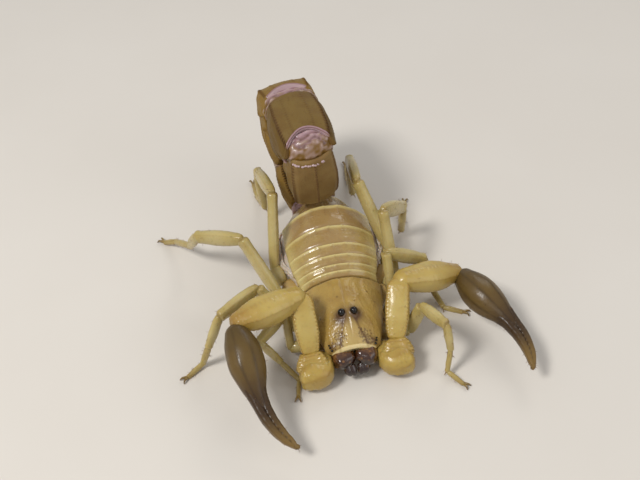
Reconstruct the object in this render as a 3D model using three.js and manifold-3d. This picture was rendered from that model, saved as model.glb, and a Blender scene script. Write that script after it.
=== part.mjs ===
// A fat-tailed desert scorpion (Androctonus type), life size, standing with its tail curled over its back.
//
// Millimetres, +Z up, head towards -Y, the animal's own left on +X. The origin is the middle of the
// floor under the whole animal. Inside, y = 0 is the rear edge of the carapace and z = 0 the floor.
import * as THREE from 'three';
import { mergeVertices } from 'three/addons/utils/BufferGeometryUtils.js';
import Module from 'manifold-3d';

const wasm = await Module();
wasm.setup();

// ---------------------------------------------------------------- driving dimensions
const GAP = 0.3;                  // air between two neighbouring pieces

// prosoma: the head shield and what is under it
const CARAPACE_LENGTH = 10.8;
const CARAPACE_REAR_HALF_WIDTH = 5.9;
const CARAPACE_FRONT_HALF_WIDTH = 3.5;
const CARAPACE_CROWN_Z = 7.6;     // top of the rear edge
const CARAPACE_FRONT_Z = 5.2;     // top of the front edge
const CARAPACE_RIM_DROP = 3.0;    // the side rims hang this far below the crown at the rear
const OCULAR_MOUND_Y = -6.4;
const OCULAR_MOUND_HEIGHT = 0.45;
const EYE_RADIUS = 0.46;
const EYE_HALF_SPACING = 0.85;

// mesosoma: seven back plates; lengths and half widths of the plates, front to rear
const TERGITE_LENGTHS = [0.9, 1.1, 1.6, 1.9, 3.1, 3.8, 5.0];
const TERGITE_HALF_WIDTHS = [6.1, 6.5, 6.9, 7.2, 7.4, 7.3, 4.4];
const TERGITE_DROPS = [2.8, 2.9, 3.1, 3.5, 4.2, 4.8, 3.4];
const TERGITE_THICKNESS = 0.8;
const BACK_SLOPE = 0.235;         // the back rises towards the rear ...
const BACK_SAG = 0.004;           // ... and levels off
const TRUNK_REAR_TOP_Z = 7.5;
const BELLY_Z = 1.2;

// metasoma: the five tail segments; the direction is measured from straight back, turning up and over
// the body, and the notch is how far the underside's far rim is arched back
const TAIL_SEGMENTS = [
  { length: 8.2, width: 8.6, depth: 6.7, direction: 33, notch: 0.7 },
  { length: 10.2, width: 8.9, depth: 7.2, direction: 62, notch: 0.9 },
  { length: 9.6, width: 9.2, depth: 7.5, direction: 147, notch: 0.8 },
  { length: 10.8, width: 9.1, depth: 7.4, direction: 190, notch: 2.7 },
  { length: 11.2, width: 7.6, depth: 6.0, direction: 285, notch: 0.8 },
];
const TELSON_DIRECTION = 388;
const HINGE_DROP = 1.3;           // the hinges between segments lie this far below their middle lines
const TAIL_BASE = [-0.8, 18.2, 4.9];
const TAIL_YAW = 7;               // the tail swings a little to the animal's right ...
const TAIL_LEAN = 4;              // ... and leans over to it
const VESICLE_LENGTH = 4.6;
const VESICLE_WIDTH = 4.2;
const VESICLE_DEPTH = 3.9;
const STING_LENGTH = 3.6;
const STING_CURL = 90;            // degrees from its root to its point

// walking legs, first to fourth: segment lengths and largest height and width of each segment
const LEG_LENGTHS = [
  { trochanter: 2.0, femur: 5.4, patella: 5.3, tibia: 4.4, basitarsus: 3.4, tarsus: 2.8 },
  { trochanter: 2.1, femur: 7.4, patella: 6.8, tibia: 5.2, basitarsus: 4.0, tarsus: 2.9 },
  { trochanter: 2.2, femur: 9.6, patella: 8.0, tibia: 6.2, basitarsus: 5.0, tarsus: 3.1 },
  { trochanter: 2.6, femur: 11.2, patella: 8.8, tibia: 7.7, basitarsus: 6.1, tarsus: 3.5 },
];
const LEG_THICKNESS = [0.86, 0.95, 1.05, 1.1];   // scale of the sections, first to fourth leg
const COXA_ENDS = [[6.4, -6.9, 2.1], [6.0, -4.0, 2.6], [7.0, 0.8, 3.0], [7.7, 4.6, 3.1]];
// The stance: for each leg the [heading, pitch] in degrees of its trochanter, femur, patella, tibia
// and basitarsus, then the heading of its tarsus. A heading of 0 points to the animal's left, 90 to
// its rear; a pitch above 0 points up.
const LEG_PARTS = ['trochanter', 'femur', 'patella', 'tibia', 'basitarsus'];
const STANCE = {
  right: [
    [[165, -6], [87, 67], [-145, -20], [-32, -48], [-48, -27], -101],
    [[160, 20], [150, 54], [-146, -2], [-152, -61], [163, -70], -146],
    [[155, 30], [125, 45], [148, -14], [114, -53], [122, -27], 138],
    [[115, 30], [78, 52], [100, -18], [20, -86], [100, -24], 95],
  ],
  left: [
    [[-10, 4], [-14, 71], [-66, 12], [-63, -77], [-120, -68], -49],
    [[50, 25], [95, 64], [8, -31], [-41, -79], [-72, -16], -28],
    [[35, 40], [97, 60], [50, -36], [90, -78], [75, -17], 70],
    [[65, 30], [115, 48], [88, -18], [60, -84], [88, -18], 85],
  ],
};

// pedipalps: the arms with the pincers
const PALP_LENGTHS = { trochanter: 3.2, femur: 9.0, patella: 10.2, chela: 18.2 };
const PALP_BASE = [3.3, -8.6, 2.4];
const PALP_STANCE = {
  right: { trochanter: [-145, 14], femur: [92, 49], patella: [-160, 3], chela: [-69, -24] },
  left: { trochanter: [-37, 13], femur: [74, 37], patella: [15, -17], chela: [-73, -6] },
};
// the root of the arm: coxa and trochanter bent outwards, rows of [x, y, z, half width, half height]
const PALP_ROOT = [
  [3.9, -9.0, 2.2, 0.9, 1.0],
  [4.3, -11.0, 2.3, 1.3, 1.5],
  [4.9, -12.0, 2.4, 1.75, 1.75],
  [5.9, -12.1, 2.5, 1.9, 1.8],
  [7.1, -11.6, 2.7, 1.2, 1.2],
];
// the lobe of the trochanter that carries the upper arm: its start, and rows of [share, half width, half height]
const PALP_LOBE_START = [5.9, -12.4, 2.15];
const PALP_LOBE = [[0, 1.3, 0.9], [0.3, 2.1, 1.55], [0.7, 1.95, 1.5], [1, 1.4, 1.25]];
const HAND_WIDTH = 5.0;
const HAND_DEPTH = 5.0;
const PALM_SHARE = 0.42;          // the palm's share of the pincer's length
const CHELA_BOW = 1.6;            // the pincer bows outwards between wrist and tips
// shares of the pincer's length and the fingers' half widths there; together they carry on the palm
const FINGER_HALF_WIDTHS = [[0.42, 0.9], [0.5, 0.76], [0.58, 0.64], [0.72, 0.55], [0.86, 0.44], [0.95, 0.34], [1, 0.26]];
const FINGER_DEPTH_SHARE = 1.35;  // a finger is deeper than it is wide

// ---------------------------------------------------------------- materials
const material = (color, roughness) => new THREE.MeshStandardMaterial({ color, roughness, metalness: 0 });
const MATERIALS = {
  carapace: material(0xa8823c, 0.4),
  tergite: material(0xb39148, 0.35),
  belly: material(0xc2ad86, 0.5),
  coxa: material(0xc7ad62, 0.45),
  leg: material(0xc4b062, 0.35),
  palp: material(0xbfa24e, 0.35),
  hand: material(0x4a3f1e, 0.25),
  tail: material(0x94783a, 0.35),
  tail_dark: material(0x6f5a2c, 0.35),
  sting: material(0x2b1c10, 0.25),
  eye: material(0x0a0a0a, 0.08),
  mouth: material(0x7a5a34, 0.35),
};

// ---------------------------------------------------------------- small geometry kit
const vec = (x, y, z) => new THREE.Vector3(x, y, z);
const radians = THREE.MathUtils.degToRad;
const mirrorX = (side) => (side === 'left' ? 1 : -1);

// Unit vector of a heading and a pitch in degrees.
function aim([heading, pitch]) {
  const level = Math.cos(radians(pitch));
  const turn = radians(heading);
  return vec(level * Math.cos(turn), level * Math.sin(turn), Math.sin(radians(pitch)));
}

// Smooth curve through three values at t = 0, 0.5 and 1.
function through(t, start, middle, end) {
  return start * (2 * t - 1) * (t - 1) + 4 * middle * t * (1 - t) + end * t * (2 * t - 1);
}

// Closed outline of an oval, its corners fuller as `power` grows.
function oval(sides, halfWidth, halfHeight, power = 2) {
  const outline = [];
  for (let i = 0; i < sides; i += 1) {
    const angle = (2 * Math.PI * (i + 0.5)) / sides;
    const c = Math.cos(angle);
    const s = Math.sin(angle);
    const x = Math.sign(c) * Math.abs(c) ** (2 / power) * halfWidth;
    const y = Math.sign(s) * Math.abs(s) ** (2 / power) * halfHeight;
    outline.push([x, y]);
  }
  return outline;
}

// Closed solid through a row of rings of equal count, with flat fans over both ends.
function loft(rings) {
  const count = rings[0].length;
  const positions = [];
  const indices = [];
  for (const ring of rings) {
    for (const point of ring) positions.push(point.x, point.y, point.z);
  }
  for (let r = 0; r + 1 < rings.length; r += 1) {
    for (let i = 0; i < count; i += 1) {
      const a = r * count + i;
      const b = r * count + ((i + 1) % count);
      indices.push(a, b, b + count, a, b + count, a + count);
    }
  }
  for (const [r, flip] of [[0, true], [rings.length - 1, false]]) {
    const centre = vec(0, 0, 0);
    for (const point of rings[r]) centre.addScaledVector(point, 1 / count);
    const hub = positions.length / 3;
    positions.push(centre.x, centre.y, centre.z);
    for (let i = 0; i < count; i += 1) {
      const a = r * count + i;
      const b = r * count + ((i + 1) % count);
      if (flip) indices.push(hub, b, a);
      else indices.push(hub, a, b);
    }
  }
  const geometry = new THREE.BufferGeometry();
  geometry.setAttribute('position', new THREE.Float32BufferAttribute(positions, 3));
  geometry.setIndex(indices);
  return facingOut(geometry);
}

// Turns the faces round where the solid came out inside out.
function facingOut(geometry) {
  const p = geometry.getAttribute('position');
  const index = geometry.getIndex().array;
  const [a, b, c] = [vec(0, 0, 0), vec(0, 0, 0), vec(0, 0, 0)];
  let volume = 0;
  for (let i = 0; i < index.length; i += 3) {
    a.fromBufferAttribute(p, index[i]);
    b.fromBufferAttribute(p, index[i + 1]);
    c.fromBufferAttribute(p, index[i + 2]);
    volume += a.dot(b.cross(c));
  }
  if (volume < 0) index.reverse();
  return geometry;
}

function toManifold(geometry) {
  const bare = geometry.clone();
  bare.deleteAttribute('normal');
  bare.deleteAttribute('uv');
  const merged = mergeVertices(bare, 1e-5);
  return new wasm.Manifold(new wasm.Mesh({
    numProp: 3,
    vertProperties: new Float32Array(merged.getAttribute('position').array),
    triVerts: new Uint32Array(merged.getIndex().array),
  }));
}

// Joined or cut solid as a mesh, without the slivers that a cut leaves along its edges.
const SLIVER = 0.006;
function fromManifold(solid) {
  const mesh = solid.asOriginal().simplify(SLIVER).getMesh();
  const geometry = new THREE.BufferGeometry();
  geometry.setAttribute('position', new THREE.Float32BufferAttribute(mesh.vertProperties, 3));
  geometry.setIndex(Array.from(mesh.triVerts));
  return geometry;
}

function join(geometries) {
  return fromManifold(geometries.map(toManifold).reduce((whole, next) => whole.add(next)));
}

function cut(geometry, tool) {
  return fromManifold(toManifold(geometry).subtract(toManifold(tool)));
}

// Takes away all that is below the floor, which leaves a small flat.
function standOnFloor(geometry) {
  const size = 200;
  const ground = new THREE.BoxGeometry(size, size, size);
  ground.translate(0, 0, -size / 2);
  return cut(geometry, ground);
}

// Rings along a path. Every ring inside the path lies in the plane that halves the bend, and an end
// ring lies in the plane given for it. `sections` gives the outline at each point of the path, across
// and along the upright of the limb.
function ringsAlong(path, sections, startNormal, endNormal) {
  const last = path.length - 1;
  const stretch = (i) => path[i + 1].clone().sub(path[i]).normalize();
  return path.map((point, i) => {
    const into = stretch(Math.max(i - 1, 0));
    const out = stretch(Math.min(i, last - 1));
    const along = into.clone().add(out).normalize();
    const side = vec(0, 0, 1).cross(along);
    if (side.length() < 0.2) side.set(1, 0, 0).addScaledVector(along, -along.x);
    side.normalize();
    const up = along.clone().cross(side);
    const axis = i === 0 ? out : into;
    const wanted = (i === 0 && startNormal) || (i === last && endNormal) || along;
    return sections[i].map(([s, u]) => {
      const offset = side.clone().multiplyScalar(s).addScaledVector(up, u);
      return point.clone().add(offset).addScaledVector(axis, -offset.dot(wanted) / axis.dot(wanted));
    });
  });
}

// ---------------------------------------------------------------- collecting the model
const animal = new THREE.Group();
const trunk = new THREE.Group();
animal.add(trunk);

// Adds a mesh with its own origin at `pivot`; the geometry is given in the animal's frame.
function addMesh(name, geometry, surface, pivot = [0, 0, 0], parent = trunk) {
  geometry.translate(-pivot[0], -pivot[1], -pivot[2]);
  const mesh = new THREE.Mesh(geometry, surface.clone());
  mesh.name = name;
  mesh.position.set(...pivot);
  parent.add(mesh);
  return mesh;
}

// ---------------------------------------------------------------- prosoma
// `t` runs from the rear edge (0) to the front edge (1) of the carapace.
function carapaceHalfWidth(t) {
  const cornerCut = 0.8 * Math.max(0, (t - 0.93) / 0.07);
  const narrowing = (CARAPACE_REAR_HALF_WIDTH - CARAPACE_FRONT_HALF_WIDTH) * t ** 1.5;
  return CARAPACE_REAR_HALF_WIDTH - narrowing - cornerCut;
}

function carapaceCrown(t) {
  return CARAPACE_CROWN_Z - (CARAPACE_CROWN_Z - CARAPACE_FRONT_Z) * t ** 3;
}

// Height of the rim that hangs down at the side.
function carapaceRim(t) {
  return CARAPACE_CROWN_Z - CARAPACE_RIM_DROP - 0.8 * t;
}

function carapaceTop(x, t) {
  const half = carapaceHalfWidth(t);
  const y = -CARAPACE_LENGTH * t;
  const dome = (carapaceCrown(t) - carapaceRim(t) - 0.3) * Math.abs(x / half) ** 2.2;
  const mound = OCULAR_MOUND_HEIGHT * Math.exp(-((x / 1.2) ** 2) - ((y - OCULAR_MOUND_Y) / 1.3) ** 2);
  return carapaceCrown(t) - dome + mound;
}

function makeEye(side) {
  const eye = new THREE.SphereGeometry(EYE_RADIUS, 8, 6);
  const t = -OCULAR_MOUND_Y / CARAPACE_LENGTH;
  const x = mirrorX(side) * EYE_HALF_SPACING;
  return { eye, centre: [x, OCULAR_MOUND_Y, carapaceTop(x, t) + 0.12] };
}

function makeCarapace() {
  const across = 12;
  const stations = [0, 0.12, 0.26, 0.4, 0.5, 0.59, 0.68, 0.8, 0.93, 1];
  const rings = stations.map((t) => {
    const half = carapaceHalfWidth(t);
    const y = -CARAPACE_LENGTH * t;
    const ring = [];
    for (let i = 0; i <= across; i += 1) {
      const x = half * Math.sin((Math.PI / 2) * ((2 * i) / across - 1));
      ring.push(vec(x, y, carapaceTop(x, t)));
    }
    const rim = carapaceRim(t);
    const roof = rim + 0.7 * t ** 4;
    ring.push(vec(half - 0.1, y, rim), vec(half - 0.7, y, roof), vec(0, y, roof));
    ring.push(vec(0.7 - half, y, roof), vec(0.1 - half, y, rim));
    return ring;
  });
  return loft(rings);
}

let carapace = makeCarapace();
for (const side of ['left', 'right']) {
  const { eye, centre } = makeEye(side);
  const socket = new THREE.SphereGeometry(EYE_RADIUS + GAP, 8, 6);
  socket.translate(...centre);
  carapace = cut(carapace, socket);
  eye.translate(...centre);
  addMesh(`median_eye_${side}`, eye, MATERIALS.eye, centre);
}
addMesh('carapace', carapace, MATERIALS.carapace, [0, 0, CARAPACE_CROWN_Z]);

// Underside: a keel of flesh between the legs, and the coxae that carry them.
function makeUnderside() {
  const stations = [2.6, -0.4, -3, -6, -7.6];
  const rings = stations.map((y) => {
    const t = Math.max(0, -y / CARAPACE_LENGTH);
    const top = carapaceRim(t) - GAP - Math.max(0, 0.25 * y);
    const half = carapaceHalfWidth(t) - 0.9 - Math.max(0, 0.6 * y);
    const bottom = 1.6;
    return oval(10, half, (top - bottom) / 2, 3).map(([x, z]) => vec(x, y, z + (top + bottom) / 2));
  });
  const parts = [loft(rings)];
  for (const side of [1, -1]) {
    COXA_ENDS.forEach(([x, y, z], leg) => {
      const end = vec(side * x, y, z);
      const start = vec(side * 1.2, -5.4 + 0.9 * leg, 2.7);
      const direction = end.clone().sub(start).normalize();
      const stop = end.clone().addScaledVector(direction, -2 * GAP);
      const middle = start.clone().lerp(stop, 0.6).add(vec(0, 0, -0.35));
      const size = 1.05 + 0.06 * leg;
      const sections = [[0.9, 0.9], [1.3 * size, 1.15 * size], [0.85 * size, 0.95 * size]];
      const outlines = sections.map(([wide, deep]) => oval(8, wide, deep));
      parts.push(loft(ringsAlong([start, middle, stop], outlines)));
    });
  }
  return join(parts);
}
addMesh('prosoma_underside', makeUnderside(), MATERIALS.coxa, [0, -4, 3]);

// Chelicerae: two short jaws under the front edge, each with a pair of small toothed fingers.
function makeChelicera(side) {
  const m = mirrorX(side);
  const spot = ([x, y, z]) => vec(m * x, y, z);
  const body = loft(ringsAlong([[1.5, -8.1, 2.6], [1.6, -10.8, 2.85], [1.2, -11.9, 2.45]].map(spot),
    [oval(10, 1.1, 0.95, 2.4), oval(10, 1.4, 1.4, 2.6), oval(10, 0.98, 1.0, 2.4)]));
  const fingers = [[1.5, 0.1], [0.85, -0.1]].map(([x, lift]) => loft(ringsAlong(
    [[x, -11.7, 2.4 + lift], [x - 0.2, -12.4, 1.9 + lift], [x - 0.4, -12.6, 1.25 + lift]].map(spot),
    [oval(6, 0.52, 0.6), oval(6, 0.42, 0.45), oval(6, 0.2, 0.2)],
  )));
  return join([body, ...fingers]);
}
for (const side of ['left', 'right']) {
  addMesh(`chelicera_${side}`, makeChelicera(side), MATERIALS.mouth, [mirrorX(side) * 1.5, -8.1, 2.6]);
}

// ---------------------------------------------------------------- mesosoma
const backZ = (y) => CARAPACE_CROWN_Z + BACK_SLOPE * y - BACK_SAG * y * y;
const tergiteEdges = [0];
for (const length of TERGITE_LENGTHS) tergiteEdges.push(tergiteEdges.at(-1) + length);

// Value at y of a measure that is given at the front edge and at the rear edge of every plate.
function alongTrunk(y, values) {
  const all = [values[0], ...values];
  for (let i = 0; i < 7; i += 1) {
    if (y <= tergiteEdges[i + 1] || i === 6) {
      return THREE.MathUtils.mapLinear(y, tergiteEdges[i], tergiteEdges[i + 1], all[i], all[i + 1]);
    }
  }
  return all[7];
}

// Outer surface of the back, without the small step at each plate's rear edge.
function backSurface(x, y) {
  const shape = Math.abs(x / alongTrunk(y, TERGITE_HALF_WIDTHS)) ** 2.3;
  const last = tergiteEdges[6];
  const fall = Math.max(0, y - last) / TERGITE_LENGTHS[6];
  const crown = y > last ? THREE.MathUtils.lerp(backZ(last) - 0.5, TRUNK_REAR_TOP_Z, fall) : backZ(y);
  return crown - shape * alongTrunk(y, TERGITE_DROPS);
}

// A back plate: an arched band, a little prouder at its rear edge than at its front.
const INNER_SHARE = 0.915;        // the inside of a plate is this much narrower than its outside

function makeTergite(number) {
  const front = tergiteEdges[number] + (number === 0 ? GAP : GAP / 2);
  const rear = tergiteEdges[number + 1] - GAP / 2;
  const across = 12;
  const steps = number === 6 ? [0, 0.35, 0.7, 1] : [0, 0.6, 1];
  const rings = [];
  for (let i = 0; i <= across; i += 1) {
    const s = Math.sin((Math.PI / 2) * ((2 * i) / across - 1));
    const surface = (t) => {
      const y = THREE.MathUtils.lerp(front, rear, t);
      const x = s * alongTrunk(y, TERGITE_HALF_WIDTHS);
      const step = THREE.MathUtils.lerp(-0.1, 0.1, t);
      return vec(x, y, backSurface(x, y) + step);
    };
    const inner = (t) => {
      const outside = surface(t);
      return vec(outside.x * INNER_SHARE, outside.y, backSurface(outside.x, outside.y) - TERGITE_THICKNESS);
    };
    rings.push([...steps.map(surface), ...steps.slice().reverse().map(inner)]);
  }
  return loft(rings);
}
for (let number = 0; number < TERGITE_LENGTHS.length; number += 1) {
  const pivot = [0, tergiteEdges[number], backZ(tergiteEdges[number])];
  addMesh(`tergite_${number + 1}`, makeTergite(number), MATERIALS.tergite, pivot);
}

// Belly: the soft flanks and the plates under them, one body below the back plates. Each row is
// [y, half width at the flank].
const FLANK = [
  [3.2, 4.2], [5.0, 5.2], [6.4, 6.0], [8.0, 7.6],
  [10.0, 8.1], [12.6, 7.9], [14.8, 6.3], [17.2, 4.6],
];

function makeBelly() {
  const rings = FLANK.map(([y, flank]) => {
    const plate = alongTrunk(y, TERGITE_HALF_WIDTHS);
    const half = Math.min(flank, INNER_SHARE * plate - GAP);
    const roof = (x) => backSurface(x / INNER_SHARE, y) - TERGITE_THICKNESS - GAP;
    const plateEdge = backSurface(plate, y) - TERGITE_THICKNESS;
    const shoulder = Math.min(roof(half) - 0.3, plateEdge - 0.35);
    const low = y < 9 ? 1.9 : BELLY_Z;
    const ring = [];
    for (let i = 0; i <= 8; i += 1) {
      const x = half * Math.sin((Math.PI / 2) * (i / 4 - 1));
      ring.push(vec(x, y, roof(x)));
    }
    const side = [
      [half, shoulder],
      [flank, (shoulder + low) / 2],
      [flank - 0.7, low + 0.4],
      [flank - 2.2, low],
    ];
    for (const [x, z] of side) ring.push(vec(x, y, z));
    ring.push(vec(0, y, low - 0.1));
    for (const [x, z] of side.slice().reverse()) ring.push(vec(-x, y, z));
    return ring;
  });
  return loft(rings);
}
addMesh('belly', makeBelly(), MATERIALS.belly, [0, 8, 4]);

// Pectens: the two combs under the belly, a shaft with a row of flat teeth along its rear side.
const PECTEN_TEETH = 11;

function makePecten(side) {
  const m = mirrorX(side);
  const inner = vec(m * 0.9, 3.0, 1.15);
  const outer = vec(m * 6.4, 6.6, 1.3);
  const along = outer.clone().sub(inner);
  const shaft = loft(ringsAlong([inner, inner.clone().lerp(outer, 0.5), outer],
    [oval(6, 0.7, 0.35), oval(6, 0.6, 0.32), oval(6, 0.35, 0.28)]));
  const backward = vec(-m * along.y, m * along.x, 0).normalize().multiplyScalar(m);
  if (backward.y < 0) backward.negate();
  const teeth = [];
  for (let i = 0; i < PECTEN_TEETH; i += 1) {
    const share = (i + 0.5) / PECTEN_TEETH;
    const root = inner.clone().addScaledVector(along, share).addScaledVector(backward, 0.1);
    const tip = root.clone().addScaledVector(backward, 1.35 - 0.4 * share).add(vec(0, 0, -0.15));
    teeth.push(loft(ringsAlong([root, tip], [oval(4, 0.2, 0.26), oval(4, 0.15, 0.22)])));
  }
  return join([shaft, ...teeth]);
}
for (const side of ['left', 'right']) {
  addMesh(`pecten_${side}`, makePecten(side), MATERIALS.coxa, [mirrorX(side) * 0.9, 3.0, 1.15]);
}

// ---------------------------------------------------------------- metasoma
// Cross-section of a tail segment, a unit wide and deep: hollow back between two raised crests,
// upright sides and a flat underside with two low keels.
const TAIL_HALF_OUTLINE = [
  [0, 0.3], [0.22, 0.34], [0.39, 0.5], [0.47, 0.36], [0.5, 0.12], [0.49, -0.14], [0.44, -0.37],
  [0.36, -0.485], [0.2, -0.52],
];

function tailOutline(width, depth, crest) {
  const groove = TAIL_HALF_OUTLINE[0][1];
  const lowered = (z) => (z > groove ? groove + (z - groove) * crest : z);
  const half = TAIL_HALF_OUTLINE.map(([x, z]) => [x * width, lowered(z) * depth]);
  const other = half.slice(1).reverse().map(([x, z]) => [-x, z]);
  return [...half, [0, -0.53 * depth], ...other];
}

// The back side is cut away at both ends by half of each bend, so that the segments can curl. The
// underside is rounder at both ends than in the middle.
const END_ROUNDING = 0.2;

function makeTailSegment({ length, width, depth, notch, bendBefore, bendAfter, drop }) {
  const stations = [0, 0.07, 0.3, 0.62, 0.9, 1];
  const startCut = Math.tan(radians(bendBefore / 2));
  const endCut = Math.tan(radians(bendAfter / 2));
  const rings = stations.map((t) => {
    const w = width * through(t, 0.86, 1.0, 0.91);
    const d = depth * through(t, 0.84, 1.02, 0.95);
    return tailOutline(w, d, t < 0.05 ? 0.4 : 1).map(([x, flatZ]) => {
      const rounding = flatZ < 0 ? END_ROUNDING * d * (2 * x / w) ** 2 * (2 * t - 1) ** 2 : 0;
      const z = Math.min(flatZ + rounding, Math.max(flatZ, 0));
      const rise = Math.max(z + HINGE_DROP, 0);
      const cutBack = rise * (startCut * (1 - t) ** 1.5 - endCut * t ** 1.5);
      const arch = flatZ < -0.3 * d ? notch * Math.max(0, 1 - (x / (0.43 * width)) ** 2) * t ** 3 : 0;
      return vec(x, GAP / 2 + (length - GAP) * t + cutBack - arch, z + drop);
    });
  });
  return loft(rings);
}

const tail = new THREE.Group();
tail.position.set(...TAIL_BASE);
tail.rotation.set(0, radians(-TAIL_LEAN), radians(TAIL_YAW));
trunk.add(tail);

const TRUNK_BEND = 24;            // between the trunk and the first segment
let carrier = tail;
let carrierLength = 0;
let previousDirection = 0;
TAIL_SEGMENTS.forEach((segment, i) => {
  const hinge = new THREE.Group();
  hinge.position.set(0, carrierLength, i === 1 ? -HINGE_DROP : 0);
  hinge.rotation.x = radians(segment.direction - previousDirection);
  carrier.add(hinge);
  const next = i < 4 ? TAIL_SEGMENTS[i + 1].direction : TELSON_DIRECTION;
  const bendBefore = i === 0 ? TRUNK_BEND : segment.direction - previousDirection;
  const bendAfter = next - segment.direction;
  const geometry = makeTailSegment({ ...segment, bendBefore, bendAfter, drop: i === 0 ? 0 : HINGE_DROP });
  const surface = i > 2 ? MATERIALS.tail_dark : MATERIALS.tail;
  addMesh(`tail_segment_${i + 1}`, geometry, surface, [0, 0, 0], hinge);
  carrier = hinge;
  carrierLength = segment.length;
  previousDirection = segment.direction;
});

// Telson: the bulb hangs on a short neck; the sting curves down from it.
const telson = new THREE.Group();
telson.position.set(0, carrierLength, HINGE_DROP);
telson.rotation.x = radians(TELSON_DIRECTION - previousDirection);
carrier.add(telson);

function makeVesicle() {
  const stations = [0, 0.14, 0.32, 0.55, 0.8, 1];
  const fullness = [0.34, 0.56, 0.88, 1, 0.84, 0.44];
  const rings = stations.map((t, i) => {
    const y = 0.5 + (VESICLE_LENGTH - 0.5) * t;
    const half = (VESICLE_WIDTH / 2) * fullness[i];
    const deep = (VESICLE_DEPTH / 2) * fullness[i];
    return oval(10, half, deep).map(([x, z]) => vec(x, y, z - 0.25 * fullness[i]));
  });
  return loft(rings);
}

function makeSting() {
  const steps = 5;
  const path = [];
  const sections = [];
  for (let i = 0; i <= steps; i += 1) {
    const t = i / steps;
    const droop = radians(STING_CURL) * t;
    const bendRadius = STING_LENGTH / radians(STING_CURL);
    const y = VESICLE_LENGTH + GAP + bendRadius * Math.sin(droop);
    path.push(vec(0, y, -0.2 - bendRadius * (1 - Math.cos(droop))));
    const radius = THREE.MathUtils.lerp(0.8, 0.26, t ** 0.8);
    sections.push(oval(8, radius, radius));
  }
  return loft(ringsAlong(path, sections));
}
addMesh('telson_vesicle', makeVesicle(), MATERIALS.tail_dark, [0, 0, 0], telson);
addMesh('telson_sting', makeSting(), MATERIALS.sting, [0, VESICLE_LENGTH, 0], telson);

// ---------------------------------------------------------------- walking legs
// Half height and half width of the leg segments at their start, middle and end.
const LEG_SECTIONS = {
  trochanter: { height: [0.7, 1.05, 0.95], width: [0.65, 0.95, 0.8] },
  femur: { height: [0.95, 1.12, 0.9], width: [0.7, 0.72, 0.65] },
  patella: { height: [0.8, 1.15, 0.8], width: [0.62, 0.74, 0.56] },
  tibia: { height: [0.68, 0.78, 0.52], width: [0.52, 0.56, 0.45] },
  basitarsus: { height: [0.5, 0.52, 0.42], width: [0.42, 0.44, 0.38] },
  tarsus: { height: [0.4, 0.44, 0.36], width: [0.36, 0.38, 0.32] },
};
const FOOT_REST_Z = 0.21;         // height of the middle of the last ring above the floor

// Points and outlines along one leg segment, its start and end included.
function legStretch(kind, start, end, scale, shares) {
  const { height, width } = LEG_SECTIONS[kind];
  return shares.map((t) => ({
    point: start.clone().lerp(end, t),
    outline: oval(8, scale * through(t, ...width), scale * through(t, ...height), 2.3),
  }));
}

function loftStretches(stretches, startNormal, endNormal) {
  const rows = stretches.flat();
  const points = rows.map((row) => row.point);
  return loft(ringsAlong(points, rows.map((row) => row.outline), startNormal, endNormal));
}

// Two small claws at the tip of the foot, spread to both sides.
function makeClaws(tip, heading, scale) {
  return [1, -1].map((side) => {
    const first = aim([heading + side * 24, 24]).multiplyScalar(0.75 * scale).add(tip);
    const second = aim([heading + side * 30, -38]).multiplyScalar(0.62 * scale).add(first);
    const start = tip.clone().addScaledVector(aim([heading, 0]), -0.3).add(vec(0, 0, 0.08));
    const outlines = [oval(6, 0.26, 0.26), oval(6, 0.25, 0.25), oval(6, 0.2, 0.22)];
    return loft(ringsAlong([start, first, second], outlines));
  });
}

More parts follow.
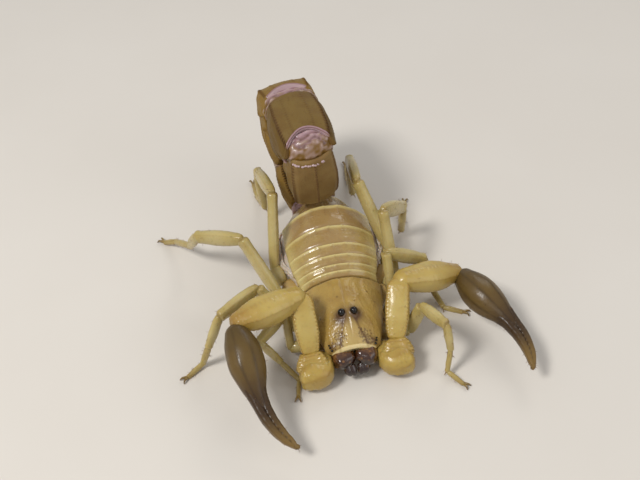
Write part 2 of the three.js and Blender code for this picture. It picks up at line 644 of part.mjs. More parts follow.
for (const side of ['right', 'left']) {
  STANCE[side].forEach((stance, i) => {
    const lengths = LEG_LENGTHS[i];
    const scale = LEG_THICKNESS[i];
    const name = `leg_${i + 1}_${side}`;
    const [x, y, z] = COXA_ENDS[i];
    const hip = vec(mirrorX(side) * x, y, z);
    const directions = {};
    LEG_PARTS.forEach((kind, k) => {
      directions[kind] = aim(stance[k]);
    });
    const tarsusHeading = stance[LEG_PARTS.length];
    const trochanterEnd = hip.clone().addScaledVector(directions.trochanter, lengths.trochanter);
    const knee = trochanterEnd.clone().addScaledVector(directions.femur, lengths.femur);
    const ankle = knee.clone().addScaledVector(directions.patella, lengths.patella);
    const heel = ankle.clone().addScaledVector(directions.tibia, lengths.tibia);
    const instep = heel.clone().addScaledVector(directions.basitarsus, lengths.basitarsus);
    const sole = (FOOT_REST_Z - instep.z) / lengths.tarsus;
    if (Math.abs(sole) > 0.95) throw new Error(`${name} does not reach the floor: ${instep.z.toFixed(2)}`);
    const tarsusPitch = THREE.MathUtils.radToDeg(Math.asin(sole));
    const toe = instep.clone().addScaledVector(aim([tarsusHeading, tarsusPitch]), lengths.tarsus);

    const kneePlane = directions.femur.clone().add(directions.patella).normalize();
    const anklePlane = directions.patella.clone().add(directions.tibia).normalize();
    const off = (direction, plane) => direction.clone().multiplyScalar(GAP / 2 / direction.dot(plane));
    const femurEnd = knee.clone().sub(off(directions.femur, kneePlane));
    const femur = loftStretches([
      legStretch('trochanter', hip, trochanterEnd, scale, [0, 0.5]),
      legStretch('femur', trochanterEnd, femurEnd, scale, [0, 0.35, 0.7, 1]),
    ], null, kneePlane);
    addMesh(`${name}_femur`, femur, MATERIALS.leg, hip.toArray());

    const patella = loftStretches([
      legStretch('patella', knee.clone().add(off(directions.patella, kneePlane)),
        ankle.clone().sub(off(directions.patella, anklePlane)), scale, [0, 0.3, 0.65, 1]),
    ], kneePlane, anklePlane);
    addMesh(`${name}_patella`, patella, MATERIALS.leg, knee.toArray());

    const foot = loftStretches([
      legStretch('tibia', ankle.clone().add(off(directions.tibia, anklePlane)), heel, scale, [0, 0.45]),
      legStretch('basitarsus', heel, instep, scale, [0, 0.55]),
      legStretch('tarsus', instep, toe, scale, [0, 0.55, 1]),
    ], anklePlane, null);
    const claws = makeClaws(toe, tarsusHeading, scale);
    addMesh(`${name}_foot`, standOnFloor(join([foot, ...claws])), MATERIALS.leg, ankle.toArray());
  });
}

// ---------------------------------------------------------------- pedipalps
// Half width of a finger at a share of the pincer's length.
function halfWidth(t) {
  const rows = FINGER_HALF_WIDTHS;
  const next = rows.findIndex(([share]) => share > t);
  if (next < 0) return rows.at(-1)[1];
  if (next === 0) return rows[0][1];
  const [before, after] = [rows[next - 1], rows[next]];
  return THREE.MathUtils.mapLinear(t, before[0], after[0], before[1], after[1]);
}

function palpPiece(start, end, sections, startNormal, endNormal, power = 2.3) {
  const path = sections.map(([t]) => start.clone().lerp(end, t));
  const outlines = sections.map(([, halfWidth, halfHeight]) => oval(10, halfWidth, halfHeight, power));
  return loft(ringsAlong(path, outlines, startNormal, endNormal));
}

for (const side of ['right', 'left']) {
  const stance = PALP_STANCE[side];
  const m = mirrorX(side);
  const direction = {};
  for (const kind of ['trochanter', 'femur', 'patella', 'chela']) direction[kind] = aim(stance[kind]);
  const base = vec(m * PALP_BASE[0], PALP_BASE[1], PALP_BASE[2]);
  const shoulder = base.clone().addScaledVector(direction.trochanter, PALP_LENGTHS.trochanter);
  const elbow = shoulder.clone().addScaledVector(direction.femur, PALP_LENGTHS.femur);
  const wrist = elbow.clone().addScaledVector(direction.patella, PALP_LENGTHS.patella);
  const tip = wrist.clone().addScaledVector(direction.chela, PALP_LENGTHS.chela);
  const elbowPlane = direction.femur.clone().add(direction.patella).normalize();
  const wristPlane = direction.patella.clone().add(direction.chela).normalize();
  const name = (part) => `pedipalp_${side}_${part}`;

  const root = loft(ringsAlong(PALP_ROOT.map(([x, y, z]) => vec(m * x, y, z)),
    PALP_ROOT.map(([, , , wide, high]) => oval(10, wide, high))));
  const lobe = palpPiece(vec(m * PALP_LOBE_START[0], PALP_LOBE_START[1], PALP_LOBE_START[2]),
    shoulder.clone().addScaledVector(direction.femur, 1.5 - GAP), PALP_LOBE, null, direction.femur);
  addMesh(name('trochanter'), join([root, lobe]), MATERIALS.palp, base.toArray());
  const femur = palpPiece(shoulder.clone().addScaledVector(direction.femur, 1.5),
    elbow.clone().addScaledVector(direction.femur, -0.4),
    [[0, 1.2, 1.1], [0.25, 1.55, 1.35], [0.75, 1.65, 1.45], [1, 1.4, 1.3]], null, elbowPlane, 3);
  addMesh(name('femur'), femur, MATERIALS.palp, shoulder.toArray());
  const patella = palpPiece(
    elbow.clone().addScaledVector(direction.patella, 0.5),
    wrist.clone().addScaledVector(direction.patella, -0.5),
    [[0, 1.35, 1.35], [0.2, 1.75, 1.65], [0.55, 2.1, 1.85], [0.85, 1.75, 1.6], [1, 1.2, 1.1]],
    elbowPlane,
    wristPlane,
  );
  addMesh(name('patella'), patella, MATERIALS.palp, elbow.toArray());

  // The pincer: a palm that runs on as the fixed finger, and the movable finger outside it.
  const outward = vec(0, 0, 1).cross(direction.chela).normalize();
  if (outward.x * m < 0) outward.negate();
  const chelaPoint = (t, offset) => wrist.clone()
    .addScaledVector(direction.chela, PALP_LENGTHS.chela * t)
    .addScaledVector(outward, CHELA_BOW * 6.75 * t * t * (1 - t) + offset);
  const palmRows = [
    [0.03, 0.18, 0.18],
    [0.09, 0.35, 0.35],
    [0.2, 0.49, 0.49],
    [0.32, 0.47, 0.47],
    [PALM_SHARE, 0.39, 0.38],
  ];
  const palm = loft(ringsAlong(palmRows.map(([t]) => chelaPoint(t, 0)),
    palmRows.map(([, wide, deep]) => oval(10, wide * HAND_WIDTH, deep * HAND_DEPTH, 2.2)), wristPlane));
  const makeFinger = (start, outwards) => {
    const rows = [start, 0.5, 0.58, 0.72, 0.86, 0.95, 1];
    return loft(ringsAlong(rows.map((t) => chelaPoint(t, outwards * (halfWidth(t) + 0.6 * GAP))),
      rows.map((t) => oval(8, halfWidth(t), FINGER_DEPTH_SHARE * halfWidth(t)))));
  };
  const hand = join([palm, makeFinger(PALM_SHARE - 0.05, -1)]);
  addMesh(name('hand'), hand, MATERIALS.hand, wrist.toArray());
  const finger = makeFinger(PALM_SHARE + GAP / PALP_LENGTHS.chela, 1);
  addMesh(name('finger'), finger, MATERIALS.hand, chelaPoint(PALM_SHARE, halfWidth(PALM_SHARE)).toArray());
}

// ---------------------------------------------------------------- origin
// The origin goes to the middle of the bounding box, on the floor.
animal.updateMatrixWorld(true);
const box = new THREE.Box3().setFromObject(animal, true);
trunk.position.set(-(box.min.x + box.max.x) / 2, -(box.min.y + box.max.y) / 2, 0);

export default animal;
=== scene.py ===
"""Fat-tailed desert scorpion, a still life-size model with closed pincers and its tail curled over."""

import math

import bpy
import numpy as np
from mathutils import Matrix, Vector


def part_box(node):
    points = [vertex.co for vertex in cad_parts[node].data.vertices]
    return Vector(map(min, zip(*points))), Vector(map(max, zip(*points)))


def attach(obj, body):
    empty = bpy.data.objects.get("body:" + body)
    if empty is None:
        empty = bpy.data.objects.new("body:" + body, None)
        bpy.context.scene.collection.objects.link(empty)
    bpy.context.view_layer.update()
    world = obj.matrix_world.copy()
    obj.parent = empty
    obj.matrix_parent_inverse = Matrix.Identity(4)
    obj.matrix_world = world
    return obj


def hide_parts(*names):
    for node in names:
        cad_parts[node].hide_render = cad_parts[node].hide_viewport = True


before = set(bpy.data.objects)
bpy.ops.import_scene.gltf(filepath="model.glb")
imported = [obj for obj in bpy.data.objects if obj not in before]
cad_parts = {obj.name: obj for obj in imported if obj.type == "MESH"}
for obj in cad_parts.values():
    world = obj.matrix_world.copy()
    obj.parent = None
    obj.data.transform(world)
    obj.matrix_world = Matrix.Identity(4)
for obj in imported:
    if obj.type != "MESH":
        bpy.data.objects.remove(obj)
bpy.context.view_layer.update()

# ------------------------------------------------------------------ carapace
# The shield over the head: one piece of hard amber cuticle, arched, with a furrow along its middle, a
# mound for the two main eyes and rows of dark grains on its ridges. It covers the bases of the legs.
MM = 0.001
plate_low, plate_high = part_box("carapace")
TRUNK_ORIGIN = np.array([(plate_low.x + plate_high.x) / 2, plate_high.y, 0.0])


def smooth_through(shares, values, t):
    """Values at t on a smooth curve: a Hermite cubic between given neighbours, its slope at each given
    share the mean of the slopes on both sides."""
    shares, values, t = (np.asarray(v, float) for v in (shares, values, t))
    wide = (slice(None),) + (None,) * (values.ndim - 1)
    steps = np.diff(values, axis=0) / np.diff(shares)[wide]
    slopes = np.concatenate([steps[:1], (steps[1:] + steps[:-1]) / 2, steps[-1:]])
    i = np.clip(np.searchsorted(shares, t, side="right") - 1, 0, len(shares) - 2)
    span = shares[i + 1] - shares[i]
    s = np.clip((t - shares[i]) / span, 0, 1)
    more = (Ellipsis,) + (None,) * (values.ndim - 1)
    s, span = s[more], span[more]
    from_start = values[i] * (2 * s**3 - 3 * s**2 + 1) + slopes[i] * span * (s**3 - 2 * s**2 + s)
    return from_start + values[i + 1] * (3 * s**2 - 2 * s**3) + slopes[i + 1] * span * (s**3 - s**2)


def unit(vectors):
    """The vectors, each divided by its length."""
    return vectors / np.maximum(np.linalg.norm(vectors, axis=-1, keepdims=True), 1e-9)


def ripple(points, wave, seed):
    """Soft unevenness, mostly between -1 and 1: nine sine waves of about one wavelength, each with its
    own direction and phase."""
    chance = np.random.default_rng(seed)
    directions = unit(chance.normal(size=(9, 3)))
    pace = 2 * np.pi / (wave * chance.uniform(0.7, 1.5, 9))
    waves = np.sin((points @ directions.T) * pace + chance.uniform(0, 6.28, 9))
    return waves.sum(axis=-1) / 4.5


def grains(points, seed, count, radius, allowed=None):
    """Round grains strewn over a surface: the highest of the bells of that radius that stand on points
    drawn at random, more of them where allowed is higher."""
    chance = np.random.default_rng(seed)
    flat = points.reshape(-1, 3)
    weight = np.ones(len(flat)) if allowed is None else allowed.reshape(-1).astype(float)
    centres = flat[chance.choice(len(flat), count, p=weight / weight.sum())]
    field = np.zeros(len(flat))
    for centre, size in zip(centres, radius * chance.uniform(0.7, 1.25, count)):
        near = np.abs(flat[:, 0] - centre[0]) < 2 * size
        apart = ((flat[near] - centre) ** 2).sum(axis=1)
        field[near] = np.maximum(field[near], np.exp(-apart / size**2))
    return field.reshape(points.shape[:-1])


def beads(distance, pitch, least=0.0):
    """A row of beads along a ridge, 1 on them and least between them."""
    return least + (1 - least) * (0.5 + 0.5 * np.cos(2 * np.pi * distance / pitch))


def bell(distance, width):
    """A ridge across: 1 on its line, falling off as a bell of that width."""
    return np.exp(-((distance / width) ** 2))


def fade(value, start, stop):
    """0 up to start, 1 from stop on, and smooth between them."""
    share = np.clip((value - start) / (stop - start), 0, 1)
    return share * share * (3 - 2 * share)


def within(value, start, full, leave, stop):
    """0 outside start and stop, 1 from full to leave, and smooth between them."""
    return fade(value, start, full) * (1 - fade(value, leave, stop))


def raised(rings, height):
    """The rings moved outwards along the surface's normal by the height at each point."""
    across = np.roll(rings, -1, axis=1) - np.roll(rings, 1, axis=1)
    normal = unit(np.cross(np.gradient(rings, axis=0), across))
    if (normal * (rings - rings.mean(axis=1, keepdims=True))).sum() < 0:
        normal = -normal
    return rings + normal * np.asarray(height)[..., None]


def skin(rings, **values):
    """A closed skin over rings of equal count, with a fan to the middle of each end ring. The values,
    from 0 to 1, are kept at every point for the material."""
    rows, columns = rings.shape[:2]
    points = np.concatenate([rings.reshape(-1, 3), rings[:1].mean(axis=1), rings[-1:].mean(axis=1)])
    step = np.arange(columns)
    after = (step + 1) % columns
    start = np.arange(rows - 1)[:, None] * columns
    quads = np.stack([start + step, start + after, start + columns + after, start + columns + step],
                     axis=-1).reshape(-1, 4)
    end = (rows - 1) * columns
    fans = np.concatenate([
        np.stack([np.full(columns, rows * columns), after, step], axis=-1),
        np.stack([np.full(columns, rows * columns + 1), end + step, end + after], axis=-1),
    ])

    def volume(faces):
        """Six times the volume under the faces, positive when they look outwards."""
        corners = [points[faces[:, k]] for k in range(faces.shape[1])]
        return sum((corners[0] * np.cross(b, c)).sum() for b, c in zip(corners[1:], corners[2:]))

    if volume(quads) + volume(fans) < 0:
        quads, fans = quads[:, ::-1], fans[:, ::-1]
    kept = {}
    for name, value in values.items():
        value = np.broadcast_to(np.clip(value, 0, 1), (rows, columns))
        kept[name] = np.concatenate([value.ravel(), [value[0].mean(), value[-1].mean()]])
    return points, quads, fans, kept


def shell(top, thickness, roundness=16):
    """Rings of a plate: its upper surface and the same surface lower down, drawn together towards the
    border so that the edge is round."""
    rows, columns = top.shape[:2]
    t = np.linspace(-1, 1, rows)[:, None]
    s = np.linspace(-1, 1, columns)[None, :]
    fullness = np.sqrt((1 - np.abs(t) ** roundness) * (1 - np.abs(s) ** roundness) + 1e-4)[..., None]
    middle = top - [0, 0, thickness / 2]
    half = np.array([0, 0, thickness / 2]) * fullness
    return np.concatenate([middle + half, (middle - half)[:, ::-1]], axis=1)


def plate(top, thickness, roundness=16, **values):
    """The closed skin of a plate, with the values on its upper surface and zeros underneath."""
    both = {name: np.concatenate([value, 0 * value], axis=1) for name, value in values.items()}
    return skin(shell(top, thickness, roundness), **both)


def add_object(name, data):
    """An object with the given data, linked to the scene."""
    item = bpy.data.objects.new(name, data)
    bpy.context.scene.collection.objects.link(item)
    return item


def add_piece(name, skins, paint, nodes=()):
    """One object from closed skins, given in millimetres on the trunk's own axes."""
    used = np.cumsum([0] + [len(spots) for spots, *_ in skins])
    faces = [part + first for first, (_, quads, fans, _) in zip(used, skins) for part in (quads, fans)]
    counts = np.concatenate([np.full(len(part), part.shape[1]) for part in faces])
    points = np.concatenate([spots for spots, *_ in skins]) * MM + TRUNK_ORIGIN
    mesh = bpy.data.meshes.new(name)
    mesh.vertices.add(len(points))
    mesh.vertices.foreach_set("co", points.ravel())
    mesh.loops.add(int(counts.sum()))
    mesh.loops.foreach_set("vertex_index", np.concatenate([part.ravel() for part in faces]).astype(np.int32))
    mesh.polygons.add(len(counts))
    mesh.polygons.foreach_set("loop_start", (np.cumsum(counts) - counts).astype(np.int32))
    mesh.update(calc_edges=True)
    mesh.shade_smooth()
    for key in ("dark", "pale", "tone"):
        attribute = mesh.attributes.new(key, "FLOAT", "POINT")
        values = np.concatenate([kept.get(key, np.zeros(len(spots))) for spots, _, _, kept in skins])
        attribute.data.foreach_set("value", values.astype(np.float32))
    mesh.materials.append(paint.material)
    piece = add_object(name, mesh)
    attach(piece, "root")
    if nodes:
        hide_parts(*nodes)


class Shade:
    """A shader socket that can be reckoned with like a number."""

    def __init__(self, paint, socket):
        self.paint, self.socket = paint, socket

    def reckon(self, operation, other, clamp=False):
        settings = {"operation": operation, "use_clamp": clamp}
        return self.paint.node("ShaderNodeMath", settings, {0: self, 1: other})

    def __add__(self, other):
        return self.reckon("ADD", other)

    def __sub__(self, other):
        return self.reckon("SUBTRACT", other)

    def __mul__(self, other):
        return self.reckon("MULTIPLY", other)

    __radd__, __rmul__ = __add__, __mul__

    def limited(self):
        return self.reckon("ADD", 0.0, clamp=True)


class Paint:
    """A procedural material. Nodes are added by type, settings first, then values or links."""

    def __init__(self, name):
        self.material = bpy.data.materials.new(name)
        self.material.use_nodes = True
        self.tree = self.material.node_tree
        self.spot = self.node("ShaderNodeTexCoord", output="Object")

    def node(self, kind, settings=None, sockets=None, output=0):
        node = self.tree.nodes.new(kind)
        for name, value in (settings or {}).items():
            setattr(node, name, value)
        self.feed(node, sockets or {})
        return Shade(self, node.outputs[output])

    def feed(self, node, sockets):
        for key, value in sockets.items():
            if isinstance(value, Shade):
                self.tree.links.new(value.socket, node.inputs[key])
            else:
                node.inputs[key].default_value = value

    def look(self, sockets):
        self.feed(self.tree.nodes["Principled BSDF"], sockets)

    def value(self, name):
        return self.node("ShaderNodeAttribute", {"attribute_name": name}, output="Fac")

    def noise(self, size, detail=3.0):
        sockets = {"Vector": self.spot, "Scale": 1 / (size * MM), "Detail": detail}
        return self.node("ShaderNodeTexNoise", sockets=sockets)

    def cells(self, size):
        sockets = {"Vector": self.spot, "Scale": 1 / (size * MM)}
        return self.node("ShaderNodeTexVoronoi", {"feature": "F1"}, sockets)

    def between(self, share, start, stop):
        sockets = {"Value": share, "From Min": start, "From Max": stop}
        return self.node("ShaderNodeMapRange", {"interpolation_type": "SMOOTHSTEP"}, sockets)

    def mix(self, share, first, second):
        return self.node("ShaderNodeMix", {"data_type": "RGBA"}, {0: share, 6: first, 7: second}, output=2)

    def bump(self, height, depth):
        sockets = {"Height": height, "Distance": depth * MM, "Strength": 1.0}
        return self.node("ShaderNodeBump", sockets=sockets)


def srgb(red, green, blue):
    """A colour from its 0 to 255 screen values."""
    linear = [((c / 255 + 0.055) / 1.055) ** 2.4 if c > 10 else c / 255 / 12.92 for c in (red, green, blue)]
    return (*linear, 1.0)


def cuticle(name, colour, dark, pale, mottle, gloss=0.36, coat=0.2, grain=0.022, glow=0.1, shadow=0.6,
            shine=0.36):
    """Hard shell of a scorpion: waxy colour with darker clouds, dark grains and ridges, paler bands and
    a fine leathery bump."""
    paint = Paint(name)
    colour, dark, pale = srgb(*colour), srgb(*dark), srgb(*pale)
    darkest = tuple(0.5 * c for c in dark[:3]) + (1.0,)
    clouds = paint.between(paint.noise(2.2), 0.4, 0.75) * mottle
    specks = paint.between(paint.noise(0.3, 2.0), 0.58, 0.78) * (0.4 * mottle)
    colours = paint.mix((clouds + specks).limited(), colour, dark)
    # The pieces' tone, pale and dark values are mostly their own colours. On the skin folds, the tail's welts
    # and the last ring's beads they are painted shade and painted highlights.
    colours = paint.mix((paint.value("tone") * shadow).limited(), colours, dark)
    colours = paint.mix(paint.value("pale").limited(), colours, pale)
    colours = paint.mix(paint.value("dark").limited(), colours, darkest)
    paint.look({
        "Base Color": colours,
        "Roughness": (gloss + 0.22 * paint.noise(0.5) - 0.06).limited(),
        "Normal": paint.bump(paint.noise(0.16) + 0.8 * paint.cells(0.22), grain),
        "Coat Weight": coat,
        "Coat Roughness": 0.14,
        "Specular IOR Level": shine,
        "Subsurface Weight": glow,
        "Subsurface Radius": (1.0, 0.55, 0.25),
        "Subsurface Scale": 0.6 * MM,
    })
    return paint


CARAPACE_LENGTH, CARAPACE_THICKNESS = 10.8, 0.8
REAR_HALF_WIDTH, FRONT_HALF_WIDTH = 5.9, 3.5
CROWN_Z, FRONT_Z, RIM_DROP = 7.6, 5.2, 3.0
MOUND_Y, MOUND_HEIGHT = -6.4, 0.45
EYE_RADIUS, EYE_HALF_SPACING = 0.5, 0.86


def carapace_half_width(t):
    corner = 0.8 * np.maximum(0, (t - 0.93) / 0.07)
    return REAR_HALF_WIDTH - (REAR_HALF_WIDTH - FRONT_HALF_WIDTH) * t**1.5 - corner


def carapace_rim(t):
    return CROWN_Z - RIM_DROP - 0.8 * t


def carapace_top(x, t):
    """Height of the shield: the crown less a dome that falls to the rim, plus the eyes' mound."""
    crown = CROWN_Z - (CROWN_Z - FRONT_Z) * t**3
    y = -CARAPACE_LENGTH * t
    dome = (crown - carapace_rim(t) - 0.3) * np.abs(x / carapace_half_width(t)) ** 2.2
    return crown - dome + MOUND_HEIGHT * bell(x, 1.2) * bell(y - MOUND_Y, 1.3)


t, s = np.meshgrid(np.linspace(0, 1, 200), np.linspace(-1, 1, 170), indexing="ij")
x = s * carapace_half_width(t)
y = -CARAPACE_LENGTH * t
aside = np.abs(x)
top = np.stack([x, y, carapace_top(x, t)], axis=-1)
# [y, distance from the middle] of the ridges of each half
RIDGES = [
    [[-10.7, 1.75], [-9.2, 1.35], [-7.7, 0.78], [-6.4, 0.42], [-5.0, 0.5]],
    [[-5.6, 2.3], [-4.8, 2.0], [-3.9, 1.9], [-3.1, 2.3]],
    [[-3.4, 1.35], [-2.2, 1.2], [-1.0, 1.5], [-0.3, 1.9]],
    [[-3.0, 3.3], [-2.0, 3.1], [-1.0, 3.2], [-0.3, 3.5]],
    [[-10.2, 2.9], [-9.0, 3.05], [-7.8, 3.0], [-6.9, 2.7]],
]
ridge = bell(y + 0.3, 0.14) * beads(x, 0.4, 0.5)
ridge = np.maximum(ridge, bell(carapace_half_width(t) - aside - 0.12, 0.14) * beads(y, 0.38, 0.5))
for line in RIDGES:
    along, apart = np.array(line).T
    reach = bell(aside - smooth_through(along, apart, y), 0.17) * beads(y, 0.42, 0.55)
    inside = within(y, along[0] - 0.25, along[0] + 0.1, along[-1] - 0.1, along[-1] + 0.25)
    ridge = np.maximum(ridge, reach * inside)
front_row = bell(y + CARAPACE_LENGTH - 0.16, 0.13) * beads(x, 0.36, 0.5)
furrow = bell(x, 0.16) * (within(y, -10.4, -7.6, -7.2, -6.9) + fade(y, -5.4, -4.6))
valley_line = smooth_through([-6.2, -4.0, -2.0, -0.2], [3.9, 2.9, 2.6, 2.9], y)
valley = bell(aside - valley_line, 0.55) * fade(y, -6.4, -4.4)
valley += 0.5 * bell(aside - 0.75 * (-y - 5.6), 0.5) * within(-y, 6.8, 8.0, 9.2, 10.2)
dots = grains(top, 3, 620, 0.13, 0.25 + fade(aside, 1.0, 3.0) + 0.6 * fade(-y, 8.0, 9.4))
dots *= 1 - 0.7 * np.clip(np.maximum(bell(x, 0.35), valley), 0, 1)
sockets = bell(np.hypot(aside - EYE_HALF_SPACING, y - MOUND_Y) - EYE_RADIUS - 0.1, 0.12)
height = 0.06 * ridge + 0.04 * front_row + 0.05 * dots - 0.1 * furrow - 0.11 * valley + 0.08 * sockets
top[..., 2] += height + 0.03 * ripple(top, 2.2, 5)
triangle_side = 0.42 * (-y - 6.2)
triangle = fade(-y, 7.0, 8.2) * (1 - fade(aside, triangle_side, triangle_side + 0.7))
smudge = bell(np.hypot(aside - 1.0, y - MOUND_Y + 0.3), 1.05)
eye_line = bell(aside - smooth_through([-10.4, -8.4, -6.6], [1.9, 1.15, 0.75], y), 0.19) * fade(-y, 6.4, 6.9)
front_corner = bell(np.hypot(aside - 2.95, y + 10.0), 0.5)
peppered = bell(aside - 1.75, 0.55) * within(-y, 8.2, 9.3, 10.2, 10.5)
peppering = grains(top, 8, 150, 0.13, peppered + 0.002)
front_lip = fade(-y, 10.47, 10.57)
dark = 0.05 * ridge + 0.06 * dots + 1.3 * smudge + 0.85 * front_corner + 0.75 * peppering + 0.35 * eye_line
pale = 0.2 * triangle + 0.25 * peppered + 0.2 * bell(y + 0.1, 0.25) + 0.8 * front_lip
tone = 0.1 * valley + 0.08 * ridge + 0.15 * furrow + 0.5 * eye_line
tone += 0.2 * bell(aside - 3.2, 1.0) * fade(-y, 5.0, 7.5) + 0.15 * bell(y + 3.2, 1.6) * bell(aside, 2.4)
carapace_paint = cuticle("amber_shield", (170, 139, 68), (118, 80, 40), (222, 200, 144), 0.34,
                         gloss=0.33, coat=0.3)
add_piece("carapace_shield", [plate(
    top, CARAPACE_THICKNESS, dark=np.clip(dark, 0, 1) * (1 - 0.9 * front_lip),
    pale=pale + 0.12 * bell(aside - 4.6, 1.2) - 0.4 * eye_line, tone=tone,
)], carapace_paint, ["carapace"])

# ------------------------------------------------------------------ eyes
# Two glossy black domes on the mound, set into the shield, and three small side eyes at each front
# corner of it.


def ball(centre, radius, rows=22, columns=28):
    """A round bead: rings whose radius follows a half circle."""
    polar = np.linspace(0.05, np.pi - 0.05, rows)[:, None]
    turn = np.linspace(0, 2 * np.pi, columns, endpoint=False)[None, :]
    spot = np.stack([np.sin(polar) * np.cos(turn), np.sin(polar) * np.sin(turn),
                     np.cos(polar) + 0 * turn], axis=-1)
    return np.asarray(centre) + radius * spot


def eye_ball(x, y, lift, radius, *counts):
    """The skin of an eye that stands on the shield, its middle a little above it."""
    height = float(carapace_top(x, -y / CARAPACE_LENGTH))
    return skin(ball([x, y, height + lift], radius, *counts))


SIDES = (("left", 1), ("right", -1))
SIDE_EYES = ((3.02, -10.32, 0.17), (3.2, -9.95, 0.16), (3.3, -9.6, 0.13))
eye_paint = Paint("black_eye")
eye_paint.look({
    "Base Color": eye_paint.mix(eye_paint.noise(0.3), srgb(6, 6, 7), srgb(30, 22, 16)),
    "Roughness": 0.06 + 0.1 * eye_paint.noise(0.4),
    "Coat Weight": 0.3,
    "Specular IOR Level": 0.3,
})
for side, m in SIDES:
    add_piece(f"main_eye_{side}", [eye_ball(m * EYE_HALF_SPACING, MOUND_Y, 0.14, EYE_RADIUS + 0.04)],
              eye_paint, [f"median_eye_{side}"])
small_eyes = [eye_ball(m * x, y, 0.06, radius, 12, 14) for _, m in SIDES for x, y, radius in SIDE_EYES]
add_piece("side_eyes", small_eyes, eye_paint)

# ------------------------------------------------------------------ back plates
# Seven arched bands of brownish amber cuticle over the trunk. Each slips under the one before it, has
# a pale smooth band along its rear edge, three low ridges of grains, and the last five ridges.
TERGITE_LENGTHS = [0.9, 1.1, 1.6, 1.9, 3.1, 3.8, 5.0]
TERGITE_HALF_WIDTHS = [6.1, 6.5, 6.9, 7.2, 7.4, 7.3, 4.4]
TERGITE_DROPS = [2.8, 2.9, 3.1, 3.5, 4.2, 4.8, 3.4]
# how much darker than the first ones each plate is
TERGITE_SHADES = [0, 0, 0, 0, 0.15, 0.6, 0.5]
TERGITE_THICKNESS = 0.6
REAR_TOP_Z = 7.5
PLATE_SHARE = 0.9
EDGES = np.concatenate([[0], np.cumsum(TERGITE_LENGTHS)])


def along_trunk(y, values):
    """A measure at y, straight between its values at the plates' rear edges."""
    return np.interp(y, EDGES, [values[0], *values])


def crown_line(y):
    arch = 7.6 + 0.235 * y - 0.004 * y**2
    last = 7.6 + 0.235 * EDGES[6] - 0.004 * EDGES[6] ** 2 - 0.5
    fall = (y - EDGES[6]) / TERGITE_LENGTHS[6]
    return np.where(y > EDGES[6], last + (REAR_TOP_Z - last) * fall, arch)


def back_surface(x, y):
    """Height of the back: its crown line less a fall that grows towards the sides."""
    share = np.abs(x / along_trunk(y, TERGITE_HALF_WIDTHS))
    return crown_line(y) - share**2.3 * along_trunk(y, TERGITE_DROPS)


back_paint = cuticle("amber_back", (180, 154, 86), (142, 108, 74), (208, 190, 126), 0.25,
                     gloss=0.2, coat=0.55, grain=0.012)
for number, length in enumerate(TERGITE_LENGTHS):
    edge, last_plate = EDGES[number], number == 6
    front, rear = edge - (0.35 if number else 0.0) + 0.12, EDGES[number + 1] + 0.02
    t, s = np.meshgrid(np.linspace(0, 1, 34 + int(16 * length)), np.linspace(-1, 1, 120), indexing="ij")
    y = front + (rear - front) * t
    half = PLATE_SHARE * along_trunk(np.clip(y, edge, None), TERGITE_HALF_WIDTHS)
    x = half * np.sin(np.pi / 2 * s * 0.97) / np.sin(np.pi / 2 * 0.97)
    lip = 0.42 * (fade(y, edge - 0.35, edge + 0.55) - 1) + 0.14 * t
    top = np.stack([x, y, back_surface(x, y) + lip], axis=-1)
    aside = np.abs(x)
    band = 1 - fade(rear - y, 0.12 + 0.03 * length, 0.36 + 0.13 * length)
    rear_grains = bell(rear - 0.22 - 0.05 * length - y, 0.12) * beads(x, 0.42, 0.35)
    ridges = bell(x, 0.17)
    for line in ([1.3 - 0.1 * (y - edge), 2.9 - 0.22 * (y - edge)] if last_plate else [0.3 * half]):
        ridges = np.maximum(ridges, bell(aside - line, 0.18))
    start = 0.12 if last_plate else 0.45
    ridges = ridges * within(t, start, start + 0.2, 0.93, 0.99) * beads(y, 0.44, 0.45)
    rough_part = fade(t, 0.25, 0.55) * (1 - band) + 0.35 * fade(aside / half, 0.6, 0.9)
    dots = grains(top, 20 + number, 90 + int(60 * length), 0.12, rough_part + 0.02)
    height = 0.09 * ridges + 0.03 * dots + 0.03 * rear_grains + 0.05 * ripple(top, 2.4, 30 + number)
    height += 0.1 * band - 0.06 * bell(aside - 0.18 * half, 0.5) * fade(t, 0.2, 0.6)
    top[..., 2] += 5 * height * np.clip(rear - y, 0, 0.2)
    shade = 0.8 * bell(aside / half, 0.55) + 0.35 * (1 - fade(t, 0.1, 0.5)) + TERGITE_SHADES[number]
    shade += 0.25 * ripple(top, 2.0, 90 + number)
    dark = 0.16 * ridges + 0.14 * dots + 0.15 * rear_grains
    pale = 0.95 * band + 0.6 * fade(aside / half, 0.75, 0.97)
    add_piece(f"back_plate_{number + 1}", [plate(
        top, TERGITE_THICKNESS, 22, dark=dark * (1 - 0.8 * band), pale=pale, tone=shade * (1 - 0.8 * band),
    )], back_paint, [f"tergite_{number + 1}"])

# ------------------------------------------------------------------ belly
# Soft, folded, pinkish grey skin along the flanks joins the back plates to the smooth pale plates of
# the underside. One skin, with four pairs of breathing slits in the plates.
# [y, half width] of the belly with its flanks
FLANK = [[0.3, 5.0], [3.2, 5.6], [5.0, 6.5], [6.4, 7.2], [8.0, 7.9], [10.0, 8.1], [12.6, 7.9],
         [14.8, 6.3], [17.2, 4.6]]
BELLY_Z, FRONT_BELLY_Z = 1.2, 1.9
SEAMS = (6.4, 8.6, 10.9, 13.2, 15.4)
SLITS = (7.4, 9.6, 11.9, 14.1)


def closed_curve(points, count):
    """Places along a smooth closed curve through the given points, and its points there."""
    wrapped = np.concatenate([points[-3:], points, points[:3]])
    places = np.linspace(0, len(points), count, endpoint=False)
    return places, smooth_through(np.arange(-3, len(points) + 3), wrapped, places)


